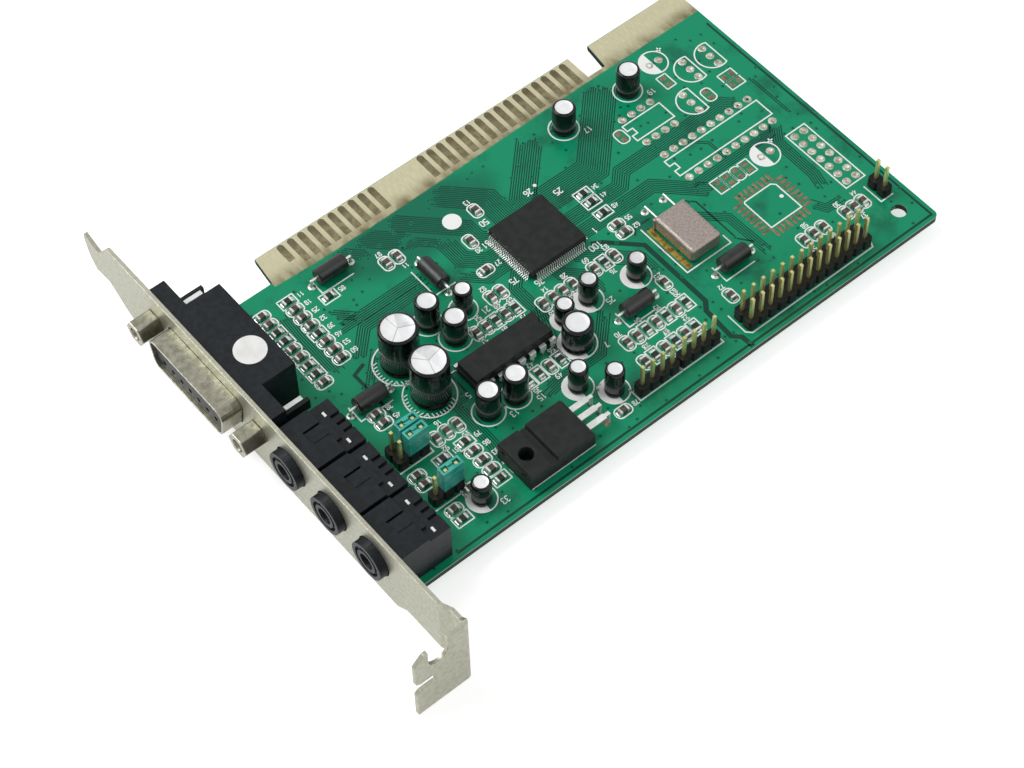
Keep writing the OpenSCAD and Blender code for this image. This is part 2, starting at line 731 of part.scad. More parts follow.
// Gull-wing leads: flat out of the side, down, and flat again on the pad
module main_chip_leads() color(tin) placed() {
    t = 0.15;
    out = chip_lead_out;
    mid = (chip_top + 0.3) / 2;
    translate([chip_at[0], chip_at[1], 0])
        for (a = [0 : 90 : 270])
            for (i = [0 : chip_leads - 1])
                rotate([0, 0, a])
                    translate([chip_side / 2, (i - (chip_leads - 1) / 2) * chip_pitch, 0])
                        rotate([90, 0, 0])
                            translate([0, 0, -chip_lead_w / 2])
                                linear_extrude(chip_lead_w)
                                    polygon([
                                        [0, mid - t / 2], [0.25, mid - t / 2], [0.4, 0],
                                        [out, 0], [out, t], [0.53, t], [0.38, mid + t / 2],
                                        [0, mid + t / 2]]);
}

module amplifier_body() color(black) placed() {
    l = amp_len / 2;
    w = amp_w / 2;
    bottom = 0.6;
    waist = amp_top - 1.9;
    translate([amp_at[0], amp_at[1], 0]) difference() {
        union() {
            box([-l, -w, waist - 0.2], [l, w, waist + 0.2]);
            box([0.2 - l, 0.2 - w, bottom], [l - 0.2, w - 0.2, amp_top]);
        }
        translate([l, 0, amp_top - 0.5]) cylinder(h = 1, r = 1);
        translate([l - 2.2, 0.9, amp_top - 0.12]) cylinder(h = 1, r = 0.75);
    }
}

module amplifier_leads() color(tin) placed() {
    t = 0.25;
    waist = amp_top - 1.9;
    for (p = amp_pins) {
        s = p[1] > amp_at[1] ? 1 : -1;
        w = amp_w / 2;
        r = amp_rows / 2;
        translate([p[0], amp_at[1], 0]) mirror([0, s < 0 ? 1 : 0, 0]) {
            box([-0.75, w, waist - t / 2], [0.75, r + t / 2, waist + t / 2]);
            box([-0.75, r - t / 2, 0.9], [0.75, r + t / 2, waist + t / 2]);
            box([-0.24, r - t / 2, -board_t - lead_below], [0.24, r + t / 2, 1]);
        }
    }
}

module regulator_body() color(black) placed() {
    w = reg_w / 2;
    translate([reg_at[0], reg_at[1], 0]) difference() {
        along_y(-w, w) polygon([
            [0, 0], [reg_len, 0], [reg_len, reg_h - 1], [reg_len - 0.7, reg_h],
            [6.9, reg_h], [6.6, reg_h - 1], [5.2, reg_h - 1], [5, reg_h - 0.1],
            [0.3, reg_h - 0.1], [0, reg_h - 0.5]]);
        translate([2.8, -0.3, -cut]) cylinder(h = reg_h + 2 * cut, r = reg_hole_r);
        for (s = [-1, 1])
            box([-cut, s * (w - 1.8) - 0.5, reg_h - 1.9], [0.8, s * (w - 1.8) + 0.5, reg_h - 1.1]);
    }
}

// Straight extrusion along Y of an outline drawn in the XZ plane
module along_y(y0, y1) {
    translate([0, y1, 0]) rotate([90, 0, 0]) linear_extrude(y1 - y0) children();
}

module regulator_leads() color(tin) placed() {
    t = 0.5;
    x0 = reg_at[0] + reg_len;
    for (p = reg_pins)
        translate([0, p[1], 0]) {
            box([x0, -0.65, reg_lead_z], [p[0] - 0.9, 0.65, reg_lead_z + t]);
            box([p[0] - 1, -0.4, reg_lead_z], [p[0] + t / 2, 0.4, reg_lead_z + t]);
            box([p[0] - t / 2, -0.4, -board_t - lead_below], [p[0] + t / 2, 0.4, reg_lead_z + t]);
        }
}

// The can lies on its side: a prism with rounded long edges and a flange at its lead end
module crystal_can() color([0.72, 0.68, 0.66]) placed() {
    w = can_w / 2;
    r = 0.8;
    y1 = can_at[1];
    translate([can_at[0], 0, 0]) {
        along_y(y1 - can_len, y1 - 0.6) rounded_slab(w, can_h, r);
        along_y(y1 - 0.7, y1) {
            translate([-w - 0.2, 0]) square([2 * w + 0.4, can_h - 0.5]);
        }
    }
}

module rounded_slab(w, h, r) {
    polygon(concat(
        arc([w - r, r], r, -90, 0, 5),
        arc([w - r, h - r], r, 0, 90, 5),
        arc([r - w, h - r], r, 90, 180, 5),
        arc([r - w, r], r, 180, 270, 5)));
}

module crystal_leads() color(tin) placed() {
    z = can_h / 2;
    r = can_lead_r;
    for (p = can_pins)
        translate([p[0], p[1], 0]) {
            translate([0, 0, -board_t - lead_below])
                cylinder(h = board_t + lead_below + z, r = r, $fn = 16);
            translate([0, 0, z]) sphere(r = r, $fn = 16);
            translate([0, 0, z]) rotate([90, 0, 0])
                cylinder(h = p[1] - can_at[1], r = r, $fn = 16);
        }
}

// Radial electrolytic capacitor: can with a crimp near its foot, a sunk top and two leads
module capacitor(n) {
    c = capacitors[n - 1];
    r = cap_radii[c[2]];
    h = c[3];
    crimp = r * 0.06;
    color(black) placed() translate([c[0], c[1], 0]) {
        rotate_extrude($fn = 48) polygon([
            [0, 0], [r - 0.3, 0], [r, 0.3], [r, 0.9], [r - crimp, 1.3], [r - crimp, 1.6],
            [r, 2], [r, h - 0.35], [r - 0.25, h - 0.08], [r - 0.5, h - 0.08],
            [r - 0.62, h - 0.25], [0, h - 0.25]]);
        cylinder(h = h, r = r - 0.62, $fn = 48);
        for (s = [-0.5, 0.5])
            translate([s * cap_lead_span[c[2]], 0, -board_t - lead_below])
                cylinder(h = board_t + lead_below + 0.5, r = cap_lead_r, $fn = 16);
    }
}

module capacitor_1() capacitor(1);

module capacitor_2() capacitor(2);

module capacitor_3() capacitor(3);

module capacitor_4() capacitor(4);

module capacitor_5() capacitor(5);

module capacitor_6() capacitor(6);

module capacitor_7() capacitor(7);

module capacitor_8() capacitor(8);

module capacitor_9() capacitor(9);

module capacitor_10() capacitor(10);

module capacitor_11() capacitor(11);

module capacitor_12() capacitor(12);

module capacitor_13() capacitor(13);

module capacitor_14() capacitor(14);

module capacitor_15() capacitor(15);

module capacitor_16() capacitor(16);

module ferrite_bead(n) {
    b = beads[n - 1];
    l = bead_len / 2;
    color(black) placed() translate([b[0], b[1], bead_z]) rotate([0, 90, b[2]])
        rotate_extrude($fn = 48) polygon([
            [bead_wire_r + 0.1, -l], [bead_r - 0.25, -l], [bead_r, 0.25 - l],
            [bead_r, l - 0.25], [bead_r - 0.25, l], [bead_wire_r + 0.1, l]]);
}

module ferrite_bead_1() ferrite_bead(1);

module ferrite_bead_2() ferrite_bead(2);

module ferrite_bead_3() ferrite_bead(3);

module ferrite_bead_4() ferrite_bead(4);

module ferrite_bead_5() ferrite_bead(5);

module bead_wires() color(tin) placed() {
    r = bead_wire_r;
    for (b = beads)
        translate([b[0], b[1], 0]) rotate([0, 0, b[2]]) {
            translate([-bead_span / 2, 0, bead_z]) rotate([0, 90, 0])
                cylinder(h = bead_span, r = r, $fn = 16);
            for (s = [-0.5, 0.5])
                translate([s * bead_span, 0, 0]) {
                    translate([0, 0, -board_t - lead_below])
                        cylinder(h = board_t + lead_below + bead_z, r = r, $fn = 16);
                    translate([0, 0, bead_z]) sphere(r = r, $fn = 16);
                }
        }
}

// Plastic base of a pin header, notched between its positions, with a square hole for each pin
module header_base(at, columns, rows) {
    l = columns * pin_pitch / 2;
    w = rows * pin_pitch / 2;
    color(black) placed() difference() {
        translate([at[0] - l, at[1] - w, 0]) cube([2 * l, 2 * w, base_h]);
        for (i = [0 : columns])
            for (s = [-1, 1])
                translate([at[0] - l + i * pin_pitch, at[1] + s * w, -cut])
                    cylinder(h = base_h + 2 * cut, r = notch, $fn = 4);
        if (rows > 1)
            for (j = [1 : rows - 1])
                for (s = [-1, 1])
                    translate([at[0] + s * l, at[1] - w + j * pin_pitch, -cut])
                        cylinder(h = base_h + 2 * cut, r = notch, $fn = 4);
        for (p = header_pins(at, columns, rows))
            square_pin(p, -cut, base_h + cut, pin_side + 2 * pin_clear);
    }
}

module square_pin(p, z0, z1, side) {
    translate([p[0] - side / 2, p[1] - side / 2, z0]) cube([side, side, z1 - z0]);
}

module wave_header_base() header_base(wave_at, wave_columns, 2);

module wave_header_pins() color(gold) placed()
    for (p = wave_pins)
        square_pin(p, -board_t - lead_below, pin_top, pin_side);

module audio_header_base_1() header_base(audio_at[0], 4, 1);

module audio_header_base_2() header_base(audio_at[1], 4, 1);

module corner_header_base() header_base(corner_at, 1, 2);

module jumper_header_bases()
    for (j = [0, 1])
        header_base(jumper_at[j], jumper_size[j][0], jumper_size[j][1]);

module small_header_pins() color(gold) placed()
    for (p = other_pins)
        square_pin(p, -board_t - lead_below, pin_top - 0.4, pin_side);

// Shunts over the two columns of a jumper header that lie away from the bracket
module jumper_shunt(j) {
    rows = shunt_rows[j];
    color(teal) placed()
        for (k = [0 : rows - 1]) {
            x = jumper_at[j][0] + pin_pitch / 2;
            y = jumper_at[j][1] + (k - (rows - 1) / 2) * pin_pitch;
            top = shunt_z + shunt_h;
            difference() {
                box([x - shunt_len / 2, y - shunt_w / 2, shunt_z],
                    [x + shunt_len / 2, y + shunt_w / 2, top]);
                for (s = [-0.5, 0.5])
                    square_pin([x + s * pin_pitch, y], shunt_z - cut, pin_top - 0.3, pin_side + 0.1);
                for (s = [-1, 1])
                    box([x + s * 1.3 - 0.65, y - 0.6, top - 1.1], [x + s * 1.3 + 0.65, y + 0.6, top + cut]);
                box([x - 1, y - 0.2, top - 0.5], [x + 1, y + 0.2, top + cut]);
                for (s = [-1, 1])
                    box([x - shunt_len / 2 - cut, y + s * shunt_w / 2 - 0.12, top - 1.75],
                        [x + shunt_len / 2 + cut, y + s * shunt_w / 2 + 0.12, top - 1.55]);
            }
        }
}

module jumper_shunt_1() jumper_shunt(0);

module jumper_shunt_2() jumper_shunt(1);

// One small chip's middle part, or its two soldered ends
module smd(p, z0, z1, x0, x1, w) {
    translate([p[0], p[1], 0]) rotate([0, 0, p[2]])
        translate([x0, -w / 2, z0]) cube([x1 - x0, w, z1 - z0]);
}

function smd_height(p) = p[3] == "C" ? smd_cap_h : smd_res_h;

module chip_capacitors() color([0.5, 0.43, 0.38]) placed()
    for (p = smd_list)
        if (p[3] == "C")
            smd(p, 0.08, smd_cap_h - 0.04, smd_end - smd_len / 2, smd_len / 2 - smd_end, smd_w - 0.08);

module chip_resistors() color(black) placed()
    for (p = smd_list)
        if (p[3] == "R")
            smd(p, 0.08, smd_res_h - 0.04, smd_end - smd_len / 2, smd_len / 2 - smd_end, smd_w - 0.08);

module chip_terminals() color(tin) placed()
    for (p = smd_list) {
        smd(p, 0, smd_height(p), -smd_len / 2, smd_end - smd_len / 2, smd_w);
        smd(p, 0, smd_height(p), smd_len / 2 - smd_end, smd_len / 2, smd_w);
    }

// Solder fillets under the board, one around each lead
module solder_joints() color(solder) placed()
    for (g = lead_groups)
        for (p = g[0])
            translate([p[0], p[1], -board_t]) rotate([180, 0, 0]) fillet(g[1] + 0.03);

module fillet(r) {
    rotate_extrude($fn = 16) polygon([[r, 0], [r + 0.5, 0], [r + 0.15, 0.55], [r, 0.55]]);
}

module inspection_sticker() color("white") placed()
    translate([flange_x + 3, -port_y - 4.3, flange_h]) cylinder(h = 0.08, r = 3.3, $fn = 48);

circuit_board();
edge_contacts();
bracket();
gameport_shell();
gameport_insulator();
gameport_housing();
gameport_pins();
gameport_board_locks();
jackscrew_1();
jackscrew_2();
jack_body_1();
jack_body_2();
jack_body_3();
jack_contacts_1();
jack_contacts_2();
jack_contacts_3();
main_chip_body();
main_chip_leads();
amplifier_body();
amplifier_leads();
regulator_body();
regulator_leads();
crystal_can();
crystal_leads();
capacitor_1();
capacitor_2();
capacitor_3();
capacitor_4();
capacitor_5();
capacitor_6();
capacitor_7();
capacitor_8();
capacitor_9();
capacitor_10();
capacitor_11();
capacitor_12();
capacitor_13();
capacitor_14();
capacitor_15();
capacitor_16();
ferrite_bead_1();
ferrite_bead_2();
ferrite_bead_3();
ferrite_bead_4();
ferrite_bead_5();
bead_wires();
wave_header_base();
wave_header_pins();
audio_header_base_1();
audio_header_base_2();
corner_header_base();
jumper_header_bases();
small_header_pins();
jumper_shunt_1();
jumper_shunt_2();
chip_capacitors();
chip_resistors();
chip_terminals();
solder_joints();
inspection_sticker();
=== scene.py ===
import bpy
import math
import numpy as np
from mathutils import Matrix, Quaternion


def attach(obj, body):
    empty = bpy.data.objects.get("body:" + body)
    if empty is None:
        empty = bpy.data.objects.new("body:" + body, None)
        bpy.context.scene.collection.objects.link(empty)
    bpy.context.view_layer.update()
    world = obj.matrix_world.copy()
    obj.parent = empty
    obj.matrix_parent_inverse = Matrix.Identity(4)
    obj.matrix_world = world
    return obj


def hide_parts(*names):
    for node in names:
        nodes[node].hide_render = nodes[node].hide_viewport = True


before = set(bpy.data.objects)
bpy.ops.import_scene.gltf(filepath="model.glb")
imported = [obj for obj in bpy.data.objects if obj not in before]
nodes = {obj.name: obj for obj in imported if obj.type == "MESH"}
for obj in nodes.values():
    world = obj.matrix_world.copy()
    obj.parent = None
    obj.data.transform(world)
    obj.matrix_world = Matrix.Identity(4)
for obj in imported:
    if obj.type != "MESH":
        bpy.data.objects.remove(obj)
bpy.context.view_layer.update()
print("frame loaded:", len(nodes), "nodes")

# Placements below are in the card's own millimetres: x from the first edge contact,
# y from the contacts' outer ends, z from the component side of the board.
cardZero = np.array([34.4, -38.2, -4.1])


def toFrame(points):
    return (np.asarray(points, float) - cardZero) * 0.001


def tint(red, green, blue):
    # an sRGB colour from 0 to 255 as the linear values that shaders take
    c = np.array([red, green, blue]) / 255
    lin = np.where(c <= 0.04045, c / 12.92, ((c + 0.055) / 1.055) ** 2.4)
    return (*[round(float(v), 5) for v in lin], 1.0)


class Value:
    # wraps one socket, so that sums and products add their own nodes
    def __init__(self, graph, socket):
        self.graph, self.socket = graph, socket

    def __add__(self, other): return self.graph.maths("ADD", self, other)
    def __radd__(self, other): return self.graph.maths("ADD", other, self)
    def __sub__(self, other): return self.graph.maths("SUBTRACT", self, other)
    def __rsub__(self, other): return self.graph.maths("SUBTRACT", other, self)
    def __mul__(self, other): return self.graph.maths("MULTIPLY", self, other)
    def __rmul__(self, other): return self.graph.maths("MULTIPLY", other, self)
    def __truediv__(self, other): return self.graph.maths("DIVIDE", self, other)
    def __gt__(self, other): return self.graph.maths("GREATER_THAN", self, other)
    def __lt__(self, other): return self.graph.maths("LESS_THAN", self, other)
    def __abs__(self): return self.graph.maths("ABSOLUTE", self)


class Graph:
    # one node tree, of a new material or of the world that is handed in
    def __init__(self, name, owner=None):
        self.material = owner or bpy.data.materials.new(name)
        self.material.use_nodes = True
        self.tree = self.material.node_tree
        self.tree.nodes.clear()
        self.spot = None

    def add(self, kind, settings=None, inputs=None, output=None):
        # settings first, then values or links by the socket's name or place
        node = self.tree.nodes.new("ShaderNode" + kind)
        for key, value in (settings or {}).items():
            setattr(node, key, value)
        for key, value in (inputs or {}).items():
            if isinstance(key, int):
                socket = node.inputs[key]
            else:
                socket = next(s for s in node.inputs if s.name == key and s.enabled)
            if isinstance(value, Value):
                self.tree.links.new(value.socket, socket)
            else:
                socket.default_value = value
        if output is None:
            found = next(s for s in node.outputs if s.enabled)
        else:
            found = node.outputs[output]
        return Value(self, found)

    def maths(self, operation, a, b=None):
        inputs = {0: a} if b is None else {0: a, 1: b}
        return self.add("Math", {"operation": operation}, inputs)

    def between(self, value, low, high):
        # 0 below low, 1 above high, and smooth in between
        return self.add("MapRange", {"interpolation_type": "SMOOTHSTEP"},
                        {"Value": value, "From Min": low, "From Max": high})

    def mix(self, share, a, b):
        return self.add("Mix", {"data_type": "RGBA"}, {"Factor": share, "A": a, "B": b})

    def where(self):
        # the point on the card, in millimetres, as a vector and as three values
        if self.spot is None:
            start = self.add("TexCoord", output="Object")
            moved = self.add("VectorMath", {"operation": "MULTIPLY_ADD"},
                             {0: start, 1: (1000, 1000, 1000), 2: tuple(cardZero)})
            split = self.tree.nodes.new("ShaderNodeSeparateXYZ")
            self.tree.links.new(moved.socket, split.inputs[0])
            self.spot = [moved] + [Value(self, s) for s in split.outputs]
        return self.spot

    def noise(self, scale, detail=3, rough=0.5, stretch=None):
        vector = self.where()[0]
        if stretch:
            vector = self.add("VectorMath", {"operation": "MULTIPLY"}, {0: vector, 1: stretch})
        return self.add("TexNoise", {}, {"Vector": vector, "Scale": scale, "Detail": detail,
                                         "Roughness": rough}, output="Fac")

    def attribute(self, name):
        return self.add("Attribute", {"attribute_name": name}, output="Fac")

    def done(self, colour, roughness=0.5, metallic=0.0, coat=None, height=None, depth=0.02,
             fixed=None):
        # a finished surface: height is the bump, depth its size in millimetres
        inputs = {"Base Color": colour, "Roughness": roughness, "Metallic": metallic}
        if coat is not None:
            inputs["Coat Weight"] = coat
        inputs.update(fixed or {})
        if height is not None:
            inputs["Normal"] = self.add("Bump", {}, {"Strength": 0.6, "Distance": depth * 0.001,
                                                     "Height": height})
        return self.shown(self.add("BsdfPrincipled", {}, inputs))

    def shown(self, shader, kind="OutputMaterial"):
        out = self.tree.nodes.new("ShaderNode" + kind)
        self.tree.links.new(shader.socket, out.inputs["Surface"])
        return self.material


mask = {
    "light": tint(4, 146, 104), "dark": tint(2, 108, 80),
    "dense": [26.0, -13.0, 21.0, 8.5],  # middle and half sizes of the darker patch
    "bare": tint(206, 200, 164), "fibre": tint(216, 212, 180), "stain": tint(112, 100, 66),
    "line": -7.6, "start": -4.0,  # where the bare tongue begins, along y and along x
    # edge: painted shade on the board's cut side; lip: a painted highlight in a band along the top
    # of that side
    "edge": tint(20, 38, 30), "lip": tint(150, 186, 160), "highlightBottom": -0.34,
    "gloss": {"Coat Roughness": 0.16, "Specular IOR Level": 0.22},
}


def maskFinish():
    # green solder mask over copper, bare glass-epoxy on the contact tongue, and on the cut edges
    # painted shade with a painted highlight along their top
    g = Graph("boardMask")
    x, y, z = g.where()[1:]
    cloud, fine = g.noise(0.09, 4, 0.55), g.noise(1.4, 2, 0.5)
    midX, midY, halfX, halfY = mask["dense"]
    aside, along = (x - midX) / halfX, (y - midY) / halfY
    dense = g.between(1.35 - aside * aside - along * along + (cloud - 0.5), 0.0, 0.9)
    share = g.maths("MAXIMUM", g.between(cloud + (fine - 0.5) * 0.12, 0.5, 0.72), dense * 0.9)
    green = g.mix(share, mask["light"], mask["dark"])
    rise = 0.9 * g.between(x, 20.0, 78.0) + 0.5 * g.between(8.0 - x, 0.0, 14.0)
    past = y - (mask["line"] + rise)
    wobble = (g.noise(0.5, 2) - 0.5) * 0.25
    bare = g.between(past + wobble, -0.12, 0.25) * (x > mask["start"])
    weave = g.noise(2.2, 2, 0.6, (1.0, 0.25, 1.0))
    fibre = g.mix(g.between(weave, 0.35, 0.75), mask["bare"], mask["fibre"])
    patch = g.noise(0.3, 3, 0.55, (1.0, 0.5, 1.0))
    stain = (0.45 + 0.8 * g.between(patch, 0.35, 0.7)) * (1 - g.between(past, -0.2, 4.2))
    fibre = g.mix(stain * 0.8, fibre, mask["stain"])
    top = g.mix(bare, green, fibre)
    # the cut side: painted shade, with a painted highlight in a band along its top
    side = g.between(z, -1.585, -1.57) * (1 - g.between(z, -0.03, -0.015))
    lip = g.between(z, mask["highlightBottom"], mask["highlightBottom"] + 0.08)
    colour = g.mix(side, top, g.mix(lip, mask["edge"], mask["lip"]))
    rough = 0.36 + 0.25 * bare + 0.3 * side + (fine - 0.5) * 0.1
    return g.done(colour, rough, 0.0, 0.12 - 0.1 * bare, fine * 0.6 + weave * 0.4, 0.012,
                  mask["gloss"])


def metalFinish(name, colour, second, rough, scale=1.5, stretch=None, depth=0.006, metallic=1.0):
    # plated or drawn metal: two tones in broad clouds, fine grain in the roughness and bump
    g = Graph(name)
    cloud = g.noise(scale * 0.25, 4, 0.6)
    grain = g.noise(scale * 6, 2, 0.6, stretch)
    tone = g.mix(g.between(cloud, 0.3, 0.7), colour, second)
    roughness = rough + (grain - 0.5) * 0.16 + (cloud - 0.5) * 0.12
    return g.done(tone, roughness, metallic, None, grain, depth)


contacts = {
    "clean": tint(112, 103, 74), "pale": tint(142, 132, 100),
    "outer": tint(78, 70, 46), "outerFrom": [-2.4, -0.3],  # y where the outer ends darken
    "inner": tint(98, 88, 54), "innerTo": [-7.8, -5.2],  # y where the stain ends
    "rough": 0.5, "metallic": 0.35,
}


def contactFinish():
    # worn plating: darker at the outer ends and where the mask begins
    g = Graph("contactPlating")
    y = g.where()[2]
    cloud, grain = g.noise(0.7, 4, 0.65), g.noise(9.6, 2, 0.6, (0.5, 0.2, 1.0))
    ragged = y + (cloud - 0.5) * 2.0
    tone = g.mix(g.between(cloud, 0.38, 0.62), contacts["clean"], contacts["pale"])
    tone = g.mix(g.between(ragged, *contacts["outerFrom"]) * 0.6, tone, contacts["outer"])
    tone = g.mix((1 - g.between(ragged, *contacts["innerTo"])) * 0.6, tone, contacts["inner"])
    return g.done(tone, contacts["rough"] + (grain - 0.5) * 0.16, contacts["metallic"], None,
                  grain, 0.004)


def plasticFinish(name, colour, second, rough, scale=2.0, depth=0.01, coat=0.0, shine=0.2):
    # moulded plastic: faint mottling and a fine spark-eroded grain
    g = Graph(name)
    cloud = g.noise(scale * 0.2, 3)
    grain = g.noise(scale * 5, 2, 0.6)
    tone = g.mix(g.between(cloud, 0.3, 0.7), colour, second)
    return g.done(tone, rough + (grain - 0.5) * 0.2, 0.0, coat, grain, depth,
                  {"Coat Roughness": 0.12, "Specular IOR Level": shine})


metals = {  # name, two tones, roughness, scale, grain's stretch, bump depth, metallic
    "bracket": ("bracketSheet", tint(178, 178, 162), tint(161, 160, 144), 0.42, 5.0,
                (1.0, 0.5, 1.0), 0.006, 0.9),
    "shell": ("shellPlating", tint(166, 165, 150), tint(130, 128, 112), 0.3, 3.6, None, 0.006,
              0.95),
    "tin": ("tinnedMetal", tint(246, 248, 246), tint(220, 222, 218), 0.3, 2.0, None, 0.004, 0.6),
    "gold": ("pinPlating", tint(226, 224, 158), tint(200, 196, 122), 0.3, 1.5, None, 0.002, 0.8),
    "solder": ("solderMetal", tint(232, 234, 230), tint(182, 184, 178), 0.28, 3.0, None, 0.02,
               0.8),
    "can": ("crystalCan", tint(178, 167, 160), tint(148, 137, 130), 0.44, 9.0, None, 0.03, 0.75),
}

plastics = {  # name, two tones, roughness, scale, bump depth, coat, specular level
    "connector": ("connectorPlastic", tint(20, 24, 27), tint(32, 37, 41), 0.42, 4.0),
    "chip": ("chipPlastic", tint(30, 33, 33), tint(40, 43, 42), 0.5, 3.0, 0.012),
    "header": ("headerPlastic", tint(10, 12, 12), tint(20, 22, 22), 0.4),
    "shunt": ("shuntPlastic", tint(34, 160, 146), tint(66, 184, 168), 0.26, 2.0, 0.004, 0.35, 0.5),
    "ferrite": ("ferriteCeramic", tint(20, 23, 24), tint(34, 38, 38), 0.34, 3.0, 0.02, 0.0, 0.5),
    "cream": ("capacitorCeramic", tint(106, 96, 84), tint(66, 60, 54), 0.4, 6.0),
    "resistor": ("resistorGlaze", tint(12, 14, 16), tint(28, 31, 32), 0.25, 3.0, 0.004, 0.25, 0.4),
    "label": ("labelPaper", tint(244, 244, 242), tint(232, 232, 229), 0.55),
}

finish = {"board": maskFinish(), "contact": contactFinish()}
finish.update({key: metalFinish(*row) for key, row in metals.items()})
finish.update({key: plasticFinish(*row) for key, row in plastics.items()})

finishOf = {
    "circuit_board": "board", "edge_contacts": "contact", "bracket": "bracket",
    "gameport_shell": "shell", "gameport_insulator": "connector",
    "gameport_housing": "connector", "gameport_pins": "tin", "gameport_board_locks": "tin",
    "jackscrew": "shell", "jack_body": "connector", "jack_contacts": "tin",
    "main_chip_body": "chip", "main_chip_leads": "tin", "amplifier_body": "chip",
    "amplifier_leads": "tin", "regulator_body": "chip", "regulator_leads": "tin",
    "crystal_can": "can", "crystal_leads": "tin", "capacitor": "header",
    "ferrite_bead": "ferrite", "bead_wires": "tin", "wave_header_base": "header",
    "wave_header_pins": "gold", "audio_header_base": "header", "corner_header_base": "header",
    "jumper_header_bases": "header", "small_header_pins": "gold", "jumper_shunt": "shunt",
    "chip_capacitors": "cream", "chip_resistors": "resistor", "chip_terminals": "tin",
    "solder_joints": "solder", "inspection_sticker": "label"}

for name, node in nodes.items():
    stem = name if name in finishOf else name.rsplit("_", 1)[0]
    node.data.materials.clear()
    node.data.materials.append(finish[finishOf[stem]])
print("finishes given to the frame")

edges = {  # worn and moulded edges of the frame's own nodes
    "widths": {  # millimetres
        "bracket": 0.22, "gameport_shell": 0.4, "gameport_housing": 0.18, "jack_body_1": 0.14,
        "jack_body_2": 0.14, "jack_body_3": 0.14, "jackscrew_1": 0.3, "jackscrew_2": 0.3,
        "main_chip_body": 0.16, "amplifier_body": 0.14, "regulator_body": 0.16,
        "jumper_shunt_1": 0.16, "jumper_shunt_2": 0.16, "audio_header_base_1": 0.1,
        "regulator_leads": 0.08, "amplifier_leads": 0.06, "wave_header_base": 0.1,
        "audio_header_base_2": 0.1, "corner_header_base": 0.1, "jumper_header_bases": 0.1},
    "merge": 1e-6, "flat": math.radians(1.5), "sharp": math.radians(34), "segments": 2,
}
for name, width in edges["widths"].items():
    weld = nodes[name].modifiers.new("merge", "WELD")
    weld.merge_threshold = edges["merge"]
    flat = nodes[name].modifiers.new("flat", "DECIMATE")
    flat.decimate_type, flat.angle_limit = "DISSOLVE", edges["flat"]
    bevel = nodes[name].modifiers.new("edge", "BEVEL")
    bevel.width, bevel.segments = width * 0.001, edges["segments"]
    bevel.limit_method, bevel.angle_limit = "ANGLE", edges["sharp"]
print("edges rounded")


def addPiece(name, verts, faces, material, slotName, smooth=False, values=None):
    # verts in metres, faces as one array of quads or triangles
    mesh = bpy.data.meshes.new(name)
    mesh.from_pydata(verts.tolist(), [], faces.tolist())
    mesh.materials.append(material)
    mesh.polygons.foreach_set("use_smooth", np.full(len(faces), smooth))
    for key, data in (values or {}).items():
        layer = mesh.attributes.new(key, "FLOAT", "POINT")
        layer.data.foreach_set("value", data.astype(np.float32))
    mesh.update()
    piece = bpy.data.objects.new(name, mesh)
    bpy.context.scene.collection.objects.link(piece)
    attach(piece, "root")
    return piece


def gather(parts):
    # several (verts, faces) pairs as one
    counts = np.cumsum([0] + [len(v) for v, f in parts[:-1]])
    return (np.concatenate([v for v, f in parts]),
            np.concatenate([f + c for (v, f), c in zip(parts, counts)]))


def gridFaces(rows, columns, closedRows=False, closedColumns=False):
    # quads of a grid of rows x columns points
    i = np.arange(rows if closedRows else rows - 1)
    j = np.arange(columns if closedColumns else columns - 1)
    i, j = [a.ravel() for a in np.meshgrid(i, j, indexing="ij")]
    n, m = (i + 1) % rows, (j + 1) % columns
    return np.stack([i * columns + j, i * columns + m, n * columns + m, n * columns + j], 1)


def ribbon(path, width, low, high, closed=False):
    # a flat strip: at each point of the path the two neighbours' directions are averaged, and
    # the strip's sides stand half the width away, lengthened at corners so that it keeps its width
    p = np.asarray(path, float)
    if closed:
        before, after = p - np.roll(p, 1, 0), np.roll(p, -1, 0) - p
    else:
        step = np.diff(p, axis=0)
        before, after = np.vstack([step[:1], step]), np.vstack([step, step[-1:]])
    before /= np.linalg.norm(before, axis=1)[:, None]
    after /= np.linalg.norm(after, axis=1)[:, None]
    mean = before + after
    mean /= np.maximum(np.linalg.norm(mean, axis=1)[:, None], 1e-9)
    reach = np.minimum(1 / np.maximum((mean * after).sum(1), 0.3), 2)[:, None]
    side = np.stack([-mean[:, 1], mean[:, 0]], 1) * reach * width / 2
    rows = [(p - side, low), (p - side, high), (p + side, high), (p + side, low)]
    verts = np.stack([np.column_stack([q, np.full(len(q), h)]) for q, h in rows], 1)
    faces = gridFaces(len(p), 4, closedRows=closed)
    return toFrame(verts.reshape(-1, 3)), faces[:, ::-1]


def ring(x, y, inner, outer, low, high, count=16):
    # an annulus: inner foot, inner lip, outer lip, outer foot at each angle
    a = np.arange(count) * 2 * math.pi / count
    reach = np.array([inner, inner, outer, outer])
    rise = np.array([low, high, high, low])
    verts = np.stack([x + np.outer(np.cos(a), reach), y + np.outer(np.sin(a), reach),
                      np.broadcast_to(rise, (count, 4))], -1)
    return toFrame(verts.reshape(-1, 3)), gridFaces(count, 4, closedRows=True)


def disc(x, y, radius, low, high, count=16, squeeze=0.03):
    # a low round plate, its top drawn to a point-sized middle
    return ring(x, y, squeeze, radius, low, high, count)


def roundedPath(x, y, halfX, halfY, radius, steps=5):
    # a rounded rectangle: four quarter turns around the corners' middles
    a = np.linspace(0, math.pi / 2, steps)
    quarter = np.stack([np.cos(a), np.sin(a)], 1) * radius
    turns = [np.array([[c, -s], [s, c]]) for c, s in ((1, 0), (0, 1), (-1, 0), (0, -1))]
    middles = np.array([[1, 1], [-1, 1], [-1, -1], [1, -1]]) * [halfX - radius, halfY - radius]
    return np.concatenate([quarter @ t.T + m for t, m in zip(turns, middles)]) + [x, y]


